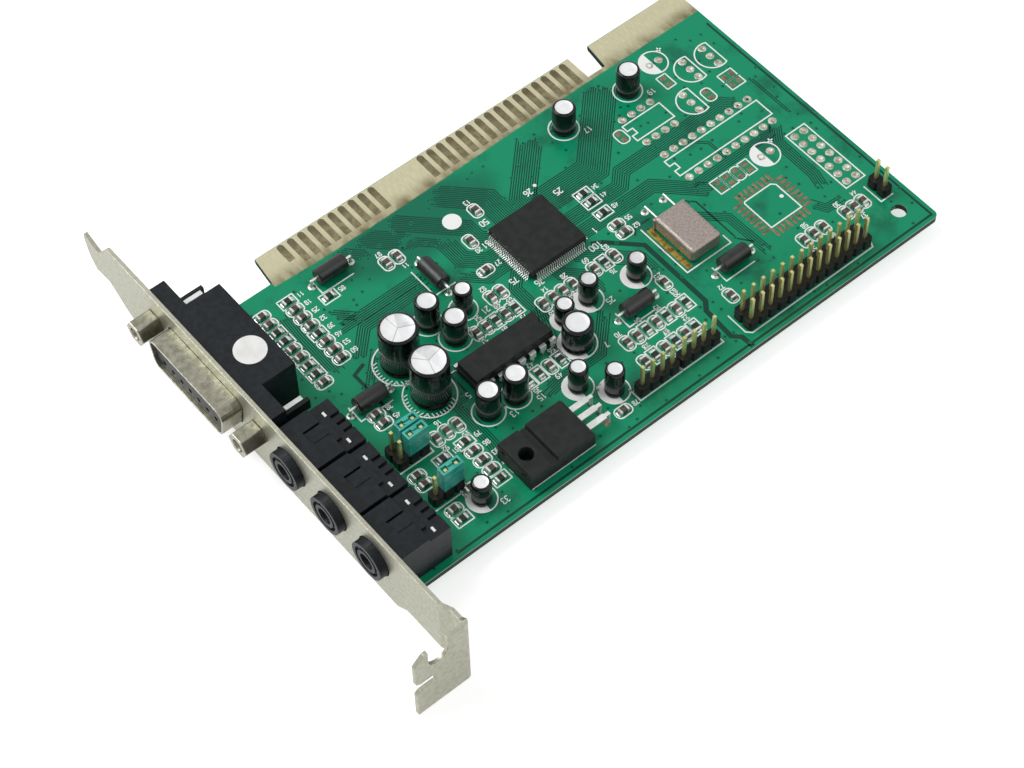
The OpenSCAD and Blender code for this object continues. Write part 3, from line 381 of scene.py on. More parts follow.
def arcPath(x, y, radius, start, stop, steps=24):
    # points on a circle around (x, y), from one angle in degrees to another
    a = np.radians(np.linspace(start, stop, steps))
    return np.stack([x + radius * np.cos(a), y + radius * np.sin(a)], 1)


def turnedSurface(profile, x, y, count=48):
    # a profile of (radius, height) turned about an upright axis
    profile = np.asarray(profile, float)
    a = np.arange(count) * 2 * math.pi / count
    reach, rise = profile[:, 0], profile[:, 1:2]
    verts = np.stack([x + np.outer(reach, np.cos(a)), y + np.outer(reach, np.sin(a)),
                      np.repeat(rise, count, 1)], -1)
    return toFrame(verts.reshape(-1, 3)), gridFaces(len(profile), count, closedColumns=True)


capacitors = {
    "radii": [4.0, 3.15, 2.5, 2.0],
    "tops": [3.35, 2.35, 1.88, 1.45],
    "places": [  # x, y, size, height
        [3.7, -37.3, 0, 11.5], [3.6, -46.9, 0, 11.5], [32.7, -55.9, 1, 7.0],
        [13.5, -33.5, 2, 7.6], [15.5, -39.6, 2, 7.2], [9.4, -57.2, 2, 7.6],
        [15.7, -57.7, 2, 7.8], [65.6, -13.0, 2, 6.8], [82.3, -13.8, 2, 6.8],
        [20.9, -35.3, 3, 7.0], [52.1, -51.0, 3, 6.0], [41.1, -49.3, 3, 7.0],
        [34.4, -50.0, 3, 5.4], [26.1, -63.8, 3, 7.0], [30.9, -68.9, 3, 7.4],
        [-3.9, -71.4, 3, 6.0]],
    "crimp": 0.07, "around": 56, "shoulder": 0.55,
    "turn": [28, 37],  # degrees of the scored top, first and step
    "sleeve": tint(4, 7, 9), "sleevePale": tint(12, 15, 17),
    # painted light and shade: the top's three sectors take three tones, as if each were tilted
    # towards or away from the light
    "sectorShades": [tint(244, 246, 247), tint(254, 254, 254), tint(220, 222, 224)],
    # score: painted shade in the grooves scored into the aluminium top
    "cloud": tint(238, 240, 241), "score": tint(150, 152, 154), "scoreWidth": 0.13,
    "gloss": {"Coat Roughness": 0.05, "Specular IOR Level": 0.18},
}


def capacitorFinish():
    # "metal" is 1 on the bare aluminium top, "aside" and "along" are millimetres from its middle
    g = Graph("capacitorSleeve")
    metal, aside, along = [g.attribute(n) for n in ("metal", "aside", "along")]
    grain = g.noise(6.0, 2)
    w = capacitors["scoreWidth"]
    ray = [1 - g.between(abs(aside), w * 0.4, w) - (along > 0),
           1 - g.between(abs(along * 0.866 - aside * 0.5), w * 0.4, w) - (along < 0),
           1 - g.between(abs(along * 0.866 + aside * 0.5), w * 0.4, w) - (along < 0)]
    score = g.maths("MAXIMUM", g.maths("MAXIMUM", ray[0], ray[1]), ray[2])
    score = g.maths("MAXIMUM", score, 0.0) * metal
    cloud = g.noise(0.9, 3)
    # painted light and shade on the three sectors between the scores
    first, second, last = capacitors["sectorShades"]
    sectorShade = g.mix(along > 0, first, second)
    sectorShade = g.mix((along < 0) * (aside > 0), sectorShade, last)
    top = g.mix(g.between(cloud, 0.3, 0.7) * 0.6, sectorShade, capacitors["cloud"])
    # painted shade along the score grooves
    top = g.mix(score * 0.6, top, capacitors["score"])
    sleeve = g.mix(grain, capacitors["sleeve"], capacitors["sleevePale"])
    colour = g.mix(metal, sleeve, top)
    rough = 0.24 + 0.14 * metal + (grain - 0.5) * 0.1
    return g.done(colour, rough, metal * 0.3, 0.3 * (1 - metal), grain * 0.3 - score, 0.05,
                  capacitors["gloss"])


finish["capacitor"] = capacitorFinish()
for index, (x, y, size, height) in enumerate(capacitors["places"], 1):
    r, t = capacitors["radii"][size], capacitors["tops"][size]
    crimp = capacitors["crimp"] * r
    s = np.linspace(0, 1, 7)
    drop = capacitors["shoulder"] * (1 - np.sqrt(np.maximum(0, 1 - (1 - s) ** 2)))
    rim = np.column_stack([t + (r - t) * (1 - s), height - drop])
    foot = [[0.03, 0.02], [r - 0.35, 0.02], [r - 0.08, 0.14], [r, 0.4], [r, 0.85],
            [r - crimp * 0.7, 1.1], [r - crimp, 1.35], [r - crimp * 0.7, 1.6], [r, 1.9],
            [r, height - 0.6]]
    top = [[t - 0.02, height - 0.1], [t - 0.1, height - 0.16], [t * 0.5, height - 0.12],
           [0.03, height - 0.12]]
    profile = np.concatenate([foot, rim, top])
    verts, faces = turnedSurface(profile, x, y, capacitors["around"])
    first, step = capacitors["turn"]
    turn = math.radians(first + step * index)
    local = verts / 0.001 + cardZero - [x, y, 0]
    if size > 0:
        local = local * 0 + [9.0, 9.0, 0]  # small tops have no score
    isTop = (profile[:, 0] <= t - 0.01) & (profile[:, 1] > height - 0.3)
    piece = addPiece(
        f"capacitorCan_{index}", verts, faces, finish["capacitor"], "capacitor_sleeve", True,
        {"metal": np.repeat(isTop, capacitors["around"]).astype(float),
         "aside": local[:, 0] * math.cos(turn) + local[:, 1] * math.sin(turn),
         "along": local[:, 1] * math.cos(turn) - local[:, 0] * math.sin(turn)})
    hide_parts(f"capacitor_{index}")
print("capacitors turned")

chips = {  # first x and y, step in x and y, turned along Y, kinds in order
    "rows": [
        [-4.4, -11.7, 0, -2.49, 0, "RCCCRCCC"], [-10.5, -11.4, 0, -2.52, 0, "CCRRCCRRC"],
        [19.2, -41.6, 2.4, 0, 90, "CCRCR"], [26.8, -36.8, 2.4, 0, 90, "CC"],
        [38.1, -17.9, 0, 0, 90, "C"], [32.4, -23.3, 0, 0, 90, "C"], [30.2, -30.9, 0, 0, 0, "C"],
        [57.4, -28.7, 0, -2.6, 0, "RR"], [57.4, -34.9, 0, 0, 0, "R"],
        [57.4, -39, 0, -2.5, 0, "CC"], [46.8, -44.5, 2.6, 0, 90, "CRC"],
        [33.6, -44.6, 2.5, 0, 90, "CCCC"], [19.6, -56.7, 2.7, 0, 90, "RRCR"],
        [55.1, -55.9, 0, 0, 90, "C"], [40, -62.2, 2.53, 0, 90, "CCRCRCR"],
        [39.7, -67.8, 2.6, 0, 90, "CRCRCR"], [29.1, -73.6, 0, 0, 0, "C"],
        [2.7, -15.9, 0, 0, 0, "R"], [-2.1, -55.6, 2.5, 0, 90, "CCC"],
        [94.5, -66.4, 2.3, 0, 90, "CCC"], [83.3, -66.1, 2.6, 0, 90, "CCC"],
        [63, -66.7, 0, 0, 90, "C"], [1.6, -59.6, 0, -2.65, 0, "RCCCR"],
        [-4, -59.9, 0, 0, 0, "R"], [-7.5, -44, 0, -2.4, 0, "CC"],
        [-10.1, -59.8, 0, -2.4, 0, "CC"], [-9.4, -70, 0, -2.5, 0, "CR"],
        [-4.2, -68.35, 0, 0, 0, "C"], [16.3, -16.8, 2.6, 0, 90, "CC"]],
    # places left without a chip: x, y, turned, kind
    "bare": [[100.9, -24.2, 0, "R"], [100.9, -26.6, 0, "R"], [90.1, -17.1, 90, "R"],
             [94.4, -25.5, 90, "C"], [79.9, -44.9, 90, "R"], [82.4, -44.9, 90, "R"],
             [84.9, -44.9, 90, "C"], [87.4, -44.9, 90, "R"], [73.2, -22.4, 90, "C"]],
    # half sizes of the outline, its line, where the body ends, how far the solder runs out
    "long": 1.85, "wide": 1.22, "line": 0.28, "end": 1.0, "solder": 0.5,
    "height": {"C": 0.85, "R": 0.55}, "climb": 0.8,
}
places = [(r[0] + i * r[2], r[1] + i * r[3], r[4], kind)
          for r in chips["rows"] for i, kind in enumerate(r[5])]

silk = {
    "line": 0.3, "high": 0.03,
    "lines": [  # open and closed outlines: closed, points
        [0, [[4.5, -75.9], [20, -75.9], [20, -74.8]]],
        [1, [[75.5, -33.0], [100.9, -33.0], [100.9, -37.8], [75.5, -37.8], [75.5, -36.2],
             [76.9, -36.2], [76.9, -34.6], [75.5, -34.6]]],
        [1, [[75.0, -20.5], [85.1, -20.5], [85.1, -25.3], [75.0, -25.3], [75.0, -23.7],
             [76.4, -23.7], [76.4, -22.1], [75.0, -22.1]]],
        [1, [[98.9, -44.0], [104.1, -44.0], [104.1, -61.9], [98.9, -61.9]]],
        [1, [[80.9, -51.2], [88.0, -51.2], [88.8, -52.0], [88.8, -59.5], [80.6, -59.5],
             [80.6, -51.6]]],
        [0, [[60.3, -43.0], [60.3, -57.0], [71.9, -57.0], [71.9, -54.6]]],
        [0, [[33.2, -70.4], [33.2, -73.95], [43.9, -73.95], [43.9, -70.9]]],
        [0, [[44.0, -70.4], [44.0, -73.95], [54.5, -73.95], [54.5, -71.0]]],
        [0, [[59.3, -69.9], [59.3, -75.0], [60.3, -76.0], [92.6, -76.0], [93.4, -74.4]]],
        [0, [[9.0, -45.6], [29.4, -45.6]]],
        [0, [[101.9, -63.8], [101.9, -68.9], [105.2, -68.9]]],
        [0, [[-12.2, -57.4], [-4.2, -57.4], [-4.2, -54.0]]],
        [0, [[-12.2, -68.0], [-4.2, -68.0], [-4.2, -65.0]]],
        [0, [[64.8, -59.2], [64.8, -63.5], [72.4, -63.5]]],
        [0, [[42.9, -55.3], [42.9, -59.6], [50.5, -59.6]]],
        [0, [[-10.5, -39.2], [-10.5, -43.3], [-2.8, -43.3]]],
        [0, [[2.2, -10.3], [2.2, -14.5], [9.9, -14.5]]],
        [0, [[23.9, -29.2], [18.7, -29.2], [18.7, -21.6]]]],
    "rings": [  # x, y, radius, how much of it is filled: 0 none, 1 the half towards the bracket
        [3.4, -37.3, 5.3, 0], [3.3, -46.9, 5.3, 0], [32.7, -55.9, 3.9, 1],
        [13.5, -33.5, 3.1, 0], [15.5, -39.6, 3.3, 0], [9.4, -57.2, 3.3, 0],
        [15.7, -57.7, 3.1, 0], [65.6, -13.0, 3.2, 0], [82.3, -13.8, 3.1, 0],
        [20.9, -35.3, 2.9, 0], [52.1, -51.0, 3.1, 1], [41.1, -49.3, 3.1, 1],
        [34.4, -50.0, 2.8, 1], [26.1, -63.8, 3.1, 1], [30.9, -68.9, 3.1, 1],
        [-3.9, -71.4, 3.0, 1], [91.5, -11.5, 3.1, 2], [92.5, -44.8, 3.1, 2]],
    "shapes": [[102.2, -17.75], [96.35, -17.9], [90.85, -24.7]],
    "dots": [[32.8, -17.0, 2.0], [87.6, -54.9, 0.45], [51.4, -20.6, 0.4]],
    "hatch": {"places": [[3.4, -37.3], [3.3, -46.9]], "inner": 4.35, "outer": 5.3,
              "step": 0.75, "line": 0.2},
    "cross": {"arm": 0.65, "away": 1.0, "aside": 1.1, "up": 0.7},
    "cutRadius": 3.6,
}


def chipOutline(x, y, turned, kind):
    # a rounded outline around a capacitor, a square one around a resistor
    a, b = chips["long"], chips["wide"]
    hx, hy = (b, a) if turned else (a, b)
    return roundedPath(x, y, hx, hy, 1.0 if kind == "C" else 0.02, 7 if kind == "C" else 2)


def halfDisc(x, y, radius, start, stop, low, high):
    # between an arc and its chord: each row runs from the chord straight to the arc
    arc = arcPath(x, y, radius, start, stop, 20)
    chord = arc[:1] + (arc[-1:] - arc[:1]) * np.linspace(0.001, 0.999, 20)[:, None]
    verts = np.stack([np.column_stack([chord, np.full(20, high)]),
                      np.column_stack([arc, np.full(20, high)]),
                      np.column_stack([arc, np.full(20, low)])], 1)
    return toFrame(verts.reshape(-1, 3)), gridFaces(20, 3)[:, ::-1]


digits = {
    "0": [(.5, 0), (1.5, 0), (2, .7), (2, 3.3), (1.5, 4), (.5, 4), (0, 3.3), (0, .7), (.5, 0)],
    "1": [(.3, 3.1), (1.1, 4), (1.1, 0)],
    "2": [(0, 3.3), (.5, 4), (1.5, 4), (2, 3.3), (2, 2.6), (0, 0), (2, 0)],
    "3": [(0, 3.5), (.5, 4), (1.5, 4), (2, 3.4), (1.3, 2.2), (2, 1.5), (2, .6), (1.5, 0),
          (.5, 0), (0, .5)],
    "4": [(1.5, 0), (1.5, 4), (0, 1.3), (2, 1.3)],
    "5": [(2, 4), (.1, 4), (.1, 2.3), (1.5, 2.3), (2, 1.8), (2, .6), (1.5, 0), (.5, 0), (0, .5)],
    "6": [(1.8, 4), (.8, 4), (0, 2.8), (0, .6), (.5, 0), (1.5, 0), (2, .6), (2, 1.6),
          (1.5, 2.2), (0, 2.1)],
    "7": [(0, 4), (2, 4), (.8, 0)],
    "8": [(.6, 2.1), (0, 2.8), (0, 3.4), (.5, 4), (1.5, 4), (2, 3.4), (2, 2.8), (.2, 1.3),
          (0, .6), (.5, 0), (1.5, 0), (2, .6), (1.8, 1.3), (.6, 2.1)],
    "9": [(.2, 0), (1.2, 0), (2, 1.2), (2, 3.4), (1.5, 4), (.5, 4), (0, 3.4), (0, 2.5),
          (.5, 1.9), (2, 2.0)]}


def number(text, x, y, height, turn=180, line=0.2):
    # the strokes of each digit, side by side around (x, y)
    size, c, s = height / 4, math.cos(math.radians(turn)), math.sin(math.radians(turn))
    out = []
    for i, digit in enumerate(text):
        p = np.array(digits[digit], float)
        p = (p + [i * 2.9 - (len(text) * 2.9 - 0.9) / 2, -2]) * size
        out.append(ribbon(p @ np.array([[c, s], [-s, c]]) + [x, y], line, 0, silk["high"]))
    return out


printed = []
for x, y, turned, kind in places + [tuple(b) for b in chips["bare"]]:
    outline = chipOutline(x, y, turned, kind)
    printed.append(ribbon(outline, chips["line"], 0, silk["high"], True))
for closed, points in silk["lines"]:
    printed.append(ribbon(points, silk["line"], 0, silk["high"], bool(closed)))
cross = silk["cross"]
for x, y, radius, filled in silk["rings"]:
    printed.append(ribbon(arcPath(x, y, radius, 0, 352, 45), silk["line"], 0, silk["high"], True))
    if filled:
        printed.append(halfDisc(x, y, radius, 95, 265, 0, silk["high"] - 0.004))
    reach = (radius + cross["away"]) / math.sqrt(2)
    for arm in ([cross["arm"], 0], [0, cross["arm"]]):
        spot = np.array([x + reach * cross["aside"], y + reach * cross["up"]])
        printed.append(ribbon([spot - arm, spot + arm], silk["line"], 0, silk["high"]))
for x, y in silk["shapes"]:
    arc = arcPath(x, y, silk["cutRadius"], 68.8, 291.2, 40)
    printed.append(ribbon(arc, silk["line"], 0, silk["high"], True))
for x, y, radius in silk["dots"]:
    printed.append(disc(x, y, radius, 0, silk["high"], 24))
hatch = silk["hatch"]
for x, y in hatch["places"]:
    for at in np.arange(-3.2, 3.3, hatch["step"]):
        near = -math.sqrt(hatch["inner"] ** 2 - at ** 2)
        far = -math.sqrt(hatch["outer"] ** 2 - at ** 2)
        for ends in ([[x + far, y + at], [x + near, y + at]],
                     [[x + at, y + far], [x + at, y + near]]):
            printed.append(ribbon(ends, hatch["line"], 0, silk["high"]))

marks = {  # plain numbers: at the main chip's corners, beside the small chips, at the cans
    "corners": [["25", 54.0, -24.9], ["26", 49.2, -21.2], ["50", 37.5, -21.4],
                ["51", 34.4, -25.9], ["75", 32.9, -36.4], ["76", 36.5, -39.9],
                ["1", 53.2, -37.1], ["100", 50.7, -40.3]],
    "cornerSize": [1.35, 0.24], "chipSize": 1.0, "canSize": [1.25, 0.22], "beside": 2.75,
}
size, line = marks["cornerSize"]
for text, x, y in marks["corners"]:
    printed += number(text, x, y, size, line=line)
for i, (x, y, turned, kind) in enumerate(places):
    text = str(11 + (i * 7) % 83)
    if turned:
        side = y - marks["beside"] if i % 2 else y + marks["beside"]
        printed += number(text, x, side, marks["chipSize"])
    elif x > -9:
        printed += number(text, x + marks["beside"] + 0.35, y, marks["chipSize"])
height, line = marks["canSize"]
for i, (x, y, size) in enumerate(p[:3] for p in capacitors["places"]):
    r = capacitors["radii"][size] + (2.5 if size == 0 else 2.0)
    printed += number(str(3 + i * 2), x + r * 0.8, y - r * 0.75, height, line=line)


def inkFinish():
    # printed white: nearly opaque, slightly broken where the ink is thin
    g = Graph("printedWhite")
    thin = g.noise(2.6, 3, 0.7)
    tone = g.mix(g.between(thin, 0.55, 0.85), tint(250, 252, 250), tint(208, 228, 218))
    return g.done(tone, 0.5 + (thin - 0.5) * 0.15, 0.0, None, thin, 0.01)


finish["ink"] = inkFinish()
addPiece("boardPrinting", *gather(printed), finish["ink"], "board")
print("printing laid")

traces = {
    # spacing, the gap's share of it, how unevenly the lines end, and the highest y they reach
    "pitch": 0.48, "share": 0.5, "stagger": 2.2, "edge": -8.4, "high": 0.012, "seed": 5,
    "bundles": [  # lines, points
        [14, [[79.5, -8.6], [63.2, -24.9], [48.5, -24.9]]],
        [7, [[97.6, -31.8], [95.0, -29.2], [67.2, -29.2], [64.5, -31.9], [48.5, -31.9]]],
        [7, [[78.6, -45.2], [69.4, -36.0], [48.5, -36.0]]],
        [4, [[98.5, -41.4], [75.4, -41.4]]],
        [11, [[58.8, -10.2], [47.6, -21.4], [47.6, -27.0]]],
        [11, [[33.2, -8.6], [41.8, -17.2], [41.8, -27.0]]],
        [8, [[22.2, -8.3], [34.0, -20.1], [34.0, -23.6], [38.6, -28.2]]],
        [9, [[15.2, -7.5], [23.2, -15.5]]],
        [5, [[9.4, -7.4], [13.8, -11.8], [13.8, -13.8]]],
        [5, [[19.9, -23.6], [-1.4, -23.6]]],
        [5, [[19.9, -26.2], [3.4, -26.2], [-2.2, -31.8]]],
        [4, [[0.0, -19.2], [4.4, -23.6]]],
        [3, [[1.6, -31.9], [-4.8, -38.3]]],
        [8, [[28.4, -19.0], [28.4, -25.6], [32.2, -29.4], [38.6, -29.4]]],
        [5, [[25.4, -28.6], [29.4, -32.6], [38.6, -32.6]]],
        [5, [[31.9, -49.5], [31.9, -38.0], [34.6, -35.3], [38.6, -35.3]]],
        [6, [[41.2, -34.0], [41.2, -41.2], [44.4, -44.4], [44.4, -50.5]]],
        [7, [[47.0, -34.0], [47.0, -40.0], [55.4, -48.4], [55.4, -53.6]]],
        [4, [[20.8, -16.4], [24.2, -16.4], [28.0, -20.2]]],
        [6, [[33.2, -42.8], [30.9, -47.5], [29.4, -51.3], [27.0, -58.0]]],
        [5, [[41.8, -53.3], [37.0, -58.0], [34.5, -60.5], [24.5, -60.5], [20.0, -61.3]]],
        [1, [[104.0, -27.4], [104.0, -39.4], [103.4, -40.0]]],
        [5, [[99.6, -39.9], [96.6, -44.0], [96.5, -55.0], [95.4, -59.2]]],
        [1, [[82.0, -31.4], [85.8, -35.2], [85.8, -40.4]]],
        [8, [[-6.6, -13.0], [-7.2, -20.0], [-7.4, -32.0]]],
        [5, [[5.4, -52.0], [5.4, -63.0], [4.8, -67.5]]],
        [5, [[-8.0, -47.5], [-4.6, -50.6], [9.0, -51.4]]],
        [4, [[70.5, -47.0], [75.8, -52.0], [76.2, -64.0]]],
        [4, [[90.5, -59.5], [92.4, -63.0], [97.0, -63.4]]]],
    "gaps": [  # bare stripes between copper areas: width, points
        [1.1, [[50.4, -39.2], [52.4, -40.4], [58.4, -46.4], [58.4, -64.4], [56.9, -66.3],
               [56.5, -73.9], [58.0, -75.4], [58.2, -78.4]]],
        [0.8, [[-5.0, -47.2], [-5.0, -34.0], [-2.0, -33.0]]],
        [0.5, [[-14.8, -77.6], [60.0, -77.7], [107.3, -77.7], [107.4, -10.5]]],
        [0.45, [[63.6, -42.0], [59.8, -41.9], [58.5, -43.4]]],
        [0.4, [[71.7, -43.0], [73.5, -44.8], [73.5, -57.0], [75.6, -59.8]]],
        [0.4, [[14.4, -45.3], [9.2, -46.0], [9.0, -52.0]]]],
}


def shifted(points, amount):
    # the same path moved sideways, its corners kept parallel
    p = np.asarray(points, float)
    step = np.diff(p, axis=0)
    step /= np.linalg.norm(step, axis=1)[:, None]
    before, after = np.vstack([step[:1], step]), np.vstack([step, step[-1:]])
    mean = before + after
    mean /= np.linalg.norm(mean, axis=1)[:, None]
    return p + np.stack([-mean[:, 1], mean[:, 0]], 1) * (amount / (mean * after).sum(1))[:, None]


def trimmed(points, start, stop):
    # the same path with a length cut off at either end, and its ends kept below the edge
    p = np.asarray(points, float).copy()
    for at, beside, cut in ((0, 1, start), (-1, -2, stop)):
        step = p[beside] - p[at]
        reach = np.linalg.norm(step)
        p[at] += step / reach * min(cut, reach * 0.8)
        if p[at][1] > traces["edge"]:
            p[at] += (p[beside] - p[at]) * (p[at][1] - traces["edge"]) / (p[at][1] - p[beside][1])
    return p


random = np.random.default_rng(traces["seed"])
grounds, ends = [], []
for count, points in traces["bundles"]:
    cuts = random.uniform(0, traces["stagger"], (count + 1, 2))
    for k in range(count + 1):
        path = trimmed(shifted(points, (k - count / 2) * traces["pitch"]), *cuts[k])
        grounds.append(ribbon(path, traces["pitch"] * traces["share"], 0, traces["high"]))
        ends += [path[0]] if k % 3 == 0 else [path[-1]] if k % 3 == 1 else []
for width, points in traces["gaps"]:
    grounds.append(ribbon(points, width, 0, traces["high"]))


def traceFinish(name, low, high, rough):
    # mask over a trace or over bare board: two greens in slow clouds
    g = Graph(name)
    cloud, fine = g.noise(0.12, 3), g.noise(1.4, 2)
    tone = g.mix(g.between(cloud, 0.3, 0.7), low, high)
    return g.done(tone, rough + (fine - 0.5) * 0.1, 0.0, 0.1, fine, 0.008,
                  {"Coat Roughness": 0.18, "Specular IOR Level": 0.22})


finish["ground"] = traceFinish("maskOverBoard", tint(0, 56, 46), tint(0, 70, 56), 0.36)
finish["trace"] = traceFinish("maskOverTrace", tint(2, 116, 86), tint(6, 130, 94), 0.34)
addPiece("boardGaps", *gather(grounds), finish["ground"], "board")

vias = {"seed": 11, "step": 3.6, "stray": 1.5, "radius": 0.2, "ring": 0.42, "keep": 0.62,
        "clear": 1.9, "high": 0.014, "around": 10}
random = np.random.default_rng(vias["seed"])
gx, gy = np.meshgrid(np.arange(-24, 106, vias["step"]), np.arange(-76, -9, vias["step"]))
stray = random.uniform(-vias["stray"], vias["stray"], (gx.size, 2))
spots = np.stack([gx.ravel(), gy.ravel()], 1) + stray
spots = spots[random.random(len(spots)) < vias["keep"]]
taken = np.array([[p[0], p[1]] for p in places])
clear = np.linalg.norm(spots[:, None] - taken[None], axis=2).min(1) > vias["clear"]
spots = np.concatenate([spots[clear], ends])
collars = [ring(x, y, vias["radius"], vias["ring"], 0, vias["high"], vias["around"])
           for x, y in spots]
wells = [disc(x, y, vias["radius"] + 0.02, 0, vias["high"] + 0.006, vias["around"])
         for x, y in spots]
addPiece("viaCollars", *gather(collars), finish["trace"], "board")
addPiece("viaWells", *gather(wells), finish["ground"], "board")
print("traces and vias laid")

pads = {
    "high": 0.035,
    # from the middle of the solder in a hole, over the ring's lip, to its foot
    "shape": [[0.02, -0.12], [0.2, -0.1], [0.34, -0.02], [0.46, 0.07], [0.62, 0.075],
              [0.8, 0.05], [0.9, 0.02], [0.92, 0.0]],
    "rows": [[76.79, -31.58, 2.54, 0, 10], [76.79, -39.2, 2.54, 0, 10],
             [76.22, -19.1, 2.54, 0, 4], [76.22, -26.72, 2.54, 0, 4],
             [100.24, -45.33, 0, -2.54, 7], [102.78, -45.33, 0, -2.54, 7],
             [101.8, -15.25, 0, -2.54, 3], [96.15, -15.3, 0, -2.54, 3],
             [90.25, -22.15, 0, -2.54, 3], [90.25, -11.6, 2.54, 0, 2],
             [91.35, -44.8, 2.54, 0, 2]],
    "socket": {"at": [84.7, -55.4], "reach": 5.55, "count": 8, "pitch": 1.2,
               "long": 2.2, "wide": 0.62},
    "chip": [0.9, 0.55, 0.62],  # from a bare chip's middle to its pads, and their half sizes
    "bare": [[25.0, -73.6, 1.5, 1.2], [60.8, -50.4, 0.9, 0.9]],
}
rings = [turnedSurface(pads["shape"], r[0] + i * r[2], r[1] + i * r[3], 20)
         for r in pads["rows"] for i in range(r[4])]
plates = []
socket = pads["socket"]
x, y = socket["at"]
halfWide, halfLong, reach = socket["wide"] / 2, socket["long"] / 2, socket["reach"]
for i in range(socket["count"]):
    along = (i - (socket["count"] - 1) / 2) * socket["pitch"]
    for sign in (-1, 1):
        plates.append((x + along, y + sign * reach, halfWide, halfLong))
        plates.append((x + sign * reach, y + along, halfLong, halfWide))
away, halfLong, halfWide = pads["chip"]
for x, y, turned, kind in chips["bare"]:
    for sign in (-1, 1):
        if turned:
            plates.append((x, y + sign * away, halfWide, halfLong))
        else:
            plates.append((x + sign * away, y, halfLong, halfWide))
plates += [(x, y, w / 2, h / 2) for x, y, w, h in pads["bare"]]


def plate(x, y, halfX, halfY):
    # a low pad: its rounded rim, then the same rim drawn in to the middle
    rim = roundedPath(x, y, halfX, halfY, 0.12, 4)
    middle = roundedPath(x, y, halfX * 0.8, halfY * 0.8, 0.1, 4)
    core = roundedPath(x, y, halfX * 0.02, halfY * 0.02, 0.001, 4)
    rows = [(rim, 0), (rim, pads["high"]), (middle, pads["high"] + 0.03),
            (core, pads["high"] + 0.035)]
    verts = np.concatenate([np.column_stack([p, np.full(len(p), h)]) for p, h in rows])
    return toFrame(verts), gridFaces(len(rows), len(rim), closedColumns=True)


def padFinish(name, colour, second, metallic):
    # thin solder over copper, dull and uneven
    g = Graph(name)
    cloud, fine = g.noise(0.8, 4, 0.6), g.noise(5.0, 2)
    tone = g.mix(g.between(cloud, 0.42, 0.62), colour, second)
    return g.done(tone, 0.36 + 0.2 * cloud, metallic, None, fine, 0.02)


finish["filled"] = padFinish("solderInHole", tint(212, 212, 200), tint(160, 152, 132), 0.6)
finish["bare"] = padFinish("drainedPad", tint(146, 124, 96), tint(112, 92, 70), 0.4)
finish["brass"] = padFinish("brassStrap", tint(178, 150, 70), tint(120, 98, 40), 0.8)
addPiece("filledHoles", *gather(rings), finish["filled"], "solder", True)
addPiece("barePads", *gather([plate(*p) for p in plates]), finish["bare"], "solder")

crystal = {
    "middle": [66.3, 1.8], "half": [3.9, 1.8], "radius": 0.8, "near": -44.9, "far": -56.0,
    "round": 0.7, "flange": [4.1, 1.55, -44.3, -44.98], "strap": [61.55, -50.25, 0.62, 6.2],
}


def carried(x, z, halfX, halfZ, radius, stations):
    # a rounded rectangle in the XZ plane carried along Y: at each station it stands in by an inset
    rows = []
    for y, inset in stations:
        p = roundedPath(x, z, halfX - inset, halfZ - inset, max(radius - inset * 0.6, 0.01), 7)
        rows.append(np.column_stack([p[:, 0], np.full(len(p), y), p[:, 1]]))
    return toFrame(np.concatenate(rows)), gridFaces(len(rows), len(rows[0]), closedColumns=True)


near, far, bend = crystal["near"], crystal["far"], crystal["round"]
turns = [(far + bend * (1 - math.sin(t)), bend * (1 - math.cos(t)))
         for t in np.linspace(0, math.pi / 2, 6)]
can = carried(*crystal["middle"], *crystal["half"], crystal["radius"],
              [(near, 1.7), (near, 0.0)] + turns + [(far, 1.0), (far, 1.75)])
w, h, y0, y1 = crystal["flange"]
lip = carried(crystal["middle"][0], h, w, h, 0.25,
              [(y0, 1.5), (y0, 0.1), (y0 - 0.1, 0.0), (y1 + 0.1, 0.0), (y1, 0.1), (y1, 1.5)])
piece = addPiece("crystalShell", *gather([can, lip]), finish["can"], "can_metal")
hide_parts("crystal_can")
addPiece("crystalStrap", *plate(*crystal["strap"]), finish["brass"], "solder")
print("crystal made")

domes = {  # solder rising around each lead that comes through the board's upper side
    "places": [[63.85, -40.2], [68.75, -40.2], [1.5, -11.8], [11.1, -11.8], [21.2, -20.8],
               [21.2, -30.4], [-11.3, -41.0], [-1.7, -41.0], [64.0, -61.1], [73.6, -61.1],
               [42.1, -57.1], [51.7, -57.1]],
    "shape": [[0.3, 0.55], [0.36, 0.3], [0.5, 0.14], [0.72, 0.06], [0.85, 0.03], [0.86, 0.0]],
}
domeParts = [turnedSurface(domes["shape"], x, y, 16) for x, y in domes["places"]]
addPiece("leadSolder", *gather(domeParts), finish["solder"], "solder", True)


def fillet(x, y, turned, sign, height):
    # solder at a chip's end: height falls as (1 - u) squared away from the end, and to the sides
    u, v = np.meshgrid(np.linspace(0, 1, 5), np.linspace(-1, 1, 5), indexing="ij")
    rise = height * (1 - u) ** 2 * (1 - 0.35 * v ** 4) * np.where(np.abs(v) == 1, 0.55, 1.0)
    rise[-1] = 0
    out = sign * (chips["end"] + u * chips["solder"])
    across = v * (0.64 - 0.08 * u)
    if turned:
        p = np.stack([x - sign * across, y + out, rise], -1)
    else:
        p = np.stack([x + out, y + sign * across, rise], -1)
    return toFrame(p.reshape(-1, 3)), gridFaces(5, 5)[:, ::-1]


fillets = [fillet(x, y, turned, sign, chips["climb"] * chips["height"][kind])
           for x, y, turned, kind in places for sign in (-1, 1)]
addPiece("chipFillets", *gather(fillets), finish["solder"], "solder", True)
print("pads and solder laid")

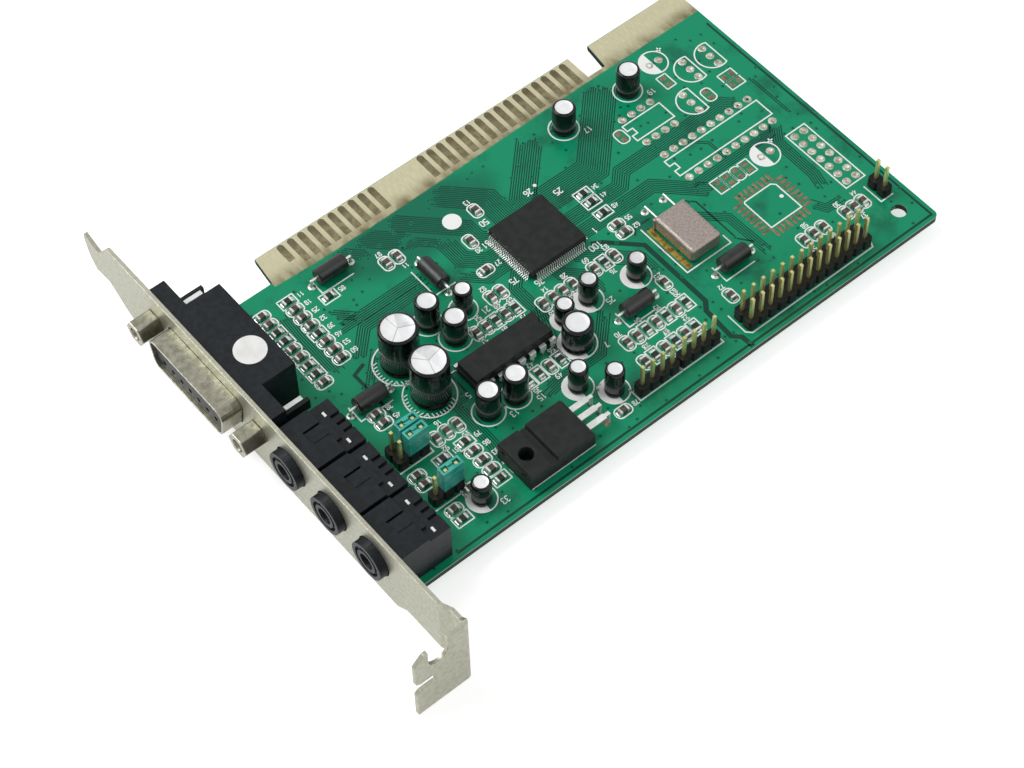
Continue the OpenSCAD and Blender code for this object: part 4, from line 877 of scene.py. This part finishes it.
stage = {
    "floor": tint(236, 236, 236), "floorGlow": 0.6, "floorReach": 6, "floorLow": -0.0004,
    "world": 0.52, "worldTint": (0.8, 0.8, 0.8, 1),
    "lamps": [  # place, size, power
        [(-0.30, 0.42, 0.62), 0.45, 3.6], [(0.45, -0.5, 0.6), 0.6, 1.2]],
    "camera": (-0.18916, -0.23336, 0.40938), "lens": 89.892,
    "turned": (0.898243, 0.279526, -0.093318, -0.326063),
}


def background(g):
    # 1 for the rays that show the white background: camera, glossy and transmission rays
    rays = [g.add("LightPath", output=f"Is {kind} Ray")
            for kind in ("Camera", "Glossy", "Transmission")]
    return g.maths("MINIMUM", rays[0] + rays[1] + rays[2], 1.0)


def floorFinish():
    # a pale diffuse floor that keeps the shadow, lifted by a glow that lights nothing
    g = Graph("plainFloor")
    base = g.add("BsdfDiffuse", {}, {"Color": stage["floor"]})
    glow = g.add("Emission", {}, {"Color": (1, 1, 1, 1),
                                  "Strength": background(g) * stage["floorGlow"]})
    return g.shown(g.add("AddShader", {}, {0: base, 1: glow}))


reach, low = stage["floorReach"], stage["floorLow"]
floorMesh = bpy.data.meshes.new("floor")
floorMesh.from_pydata([(-reach, -reach, low), (reach, -reach, low), (reach, reach, low),
                       (-reach, reach, low)], [], [(0, 1, 2, 3)])
floor = bpy.data.objects.new("floor", floorMesh)
floor.data.materials.append(floorFinish())
bpy.context.scene.collection.objects.link(floor)

world = bpy.data.worlds.new("studio")
bpy.context.scene.world = world
g = Graph("studio", world)
strength = background(g) * (1 - stage["world"]) + stage["world"]
backdrop = g.add("Background", {}, {"Color": stage["worldTint"], "Strength": strength})
g.shown(backdrop, "OutputWorld")

for index, (place, size, power) in enumerate(stage["lamps"]):
    lamp = bpy.data.lights.new(f"lamp{index}", "AREA")
    lamp.energy, lamp.size = power, size
    holder = bpy.data.objects.new(f"lamp{index}", lamp)
    holder.location = place
    direction = -holder.location.copy()
    holder.rotation_euler = direction.to_track_quat("-Z", "Y").to_euler()
    bpy.context.scene.collection.objects.link(holder)

view = bpy.data.cameras.new("view")
view.lens, view.sensor_width, view.clip_start = stage["lens"], 36, 0.01
camera = bpy.data.objects.new("view", view)
camera.location = stage["camera"]
camera.rotation_mode = "QUATERNION"
camera.rotation_quaternion = Quaternion(stage["turned"])
bpy.context.scene.collection.objects.link(camera)
bpy.context.scene.camera = camera
bpy.context.scene.view_settings.view_transform = "Standard"
print("stage set")
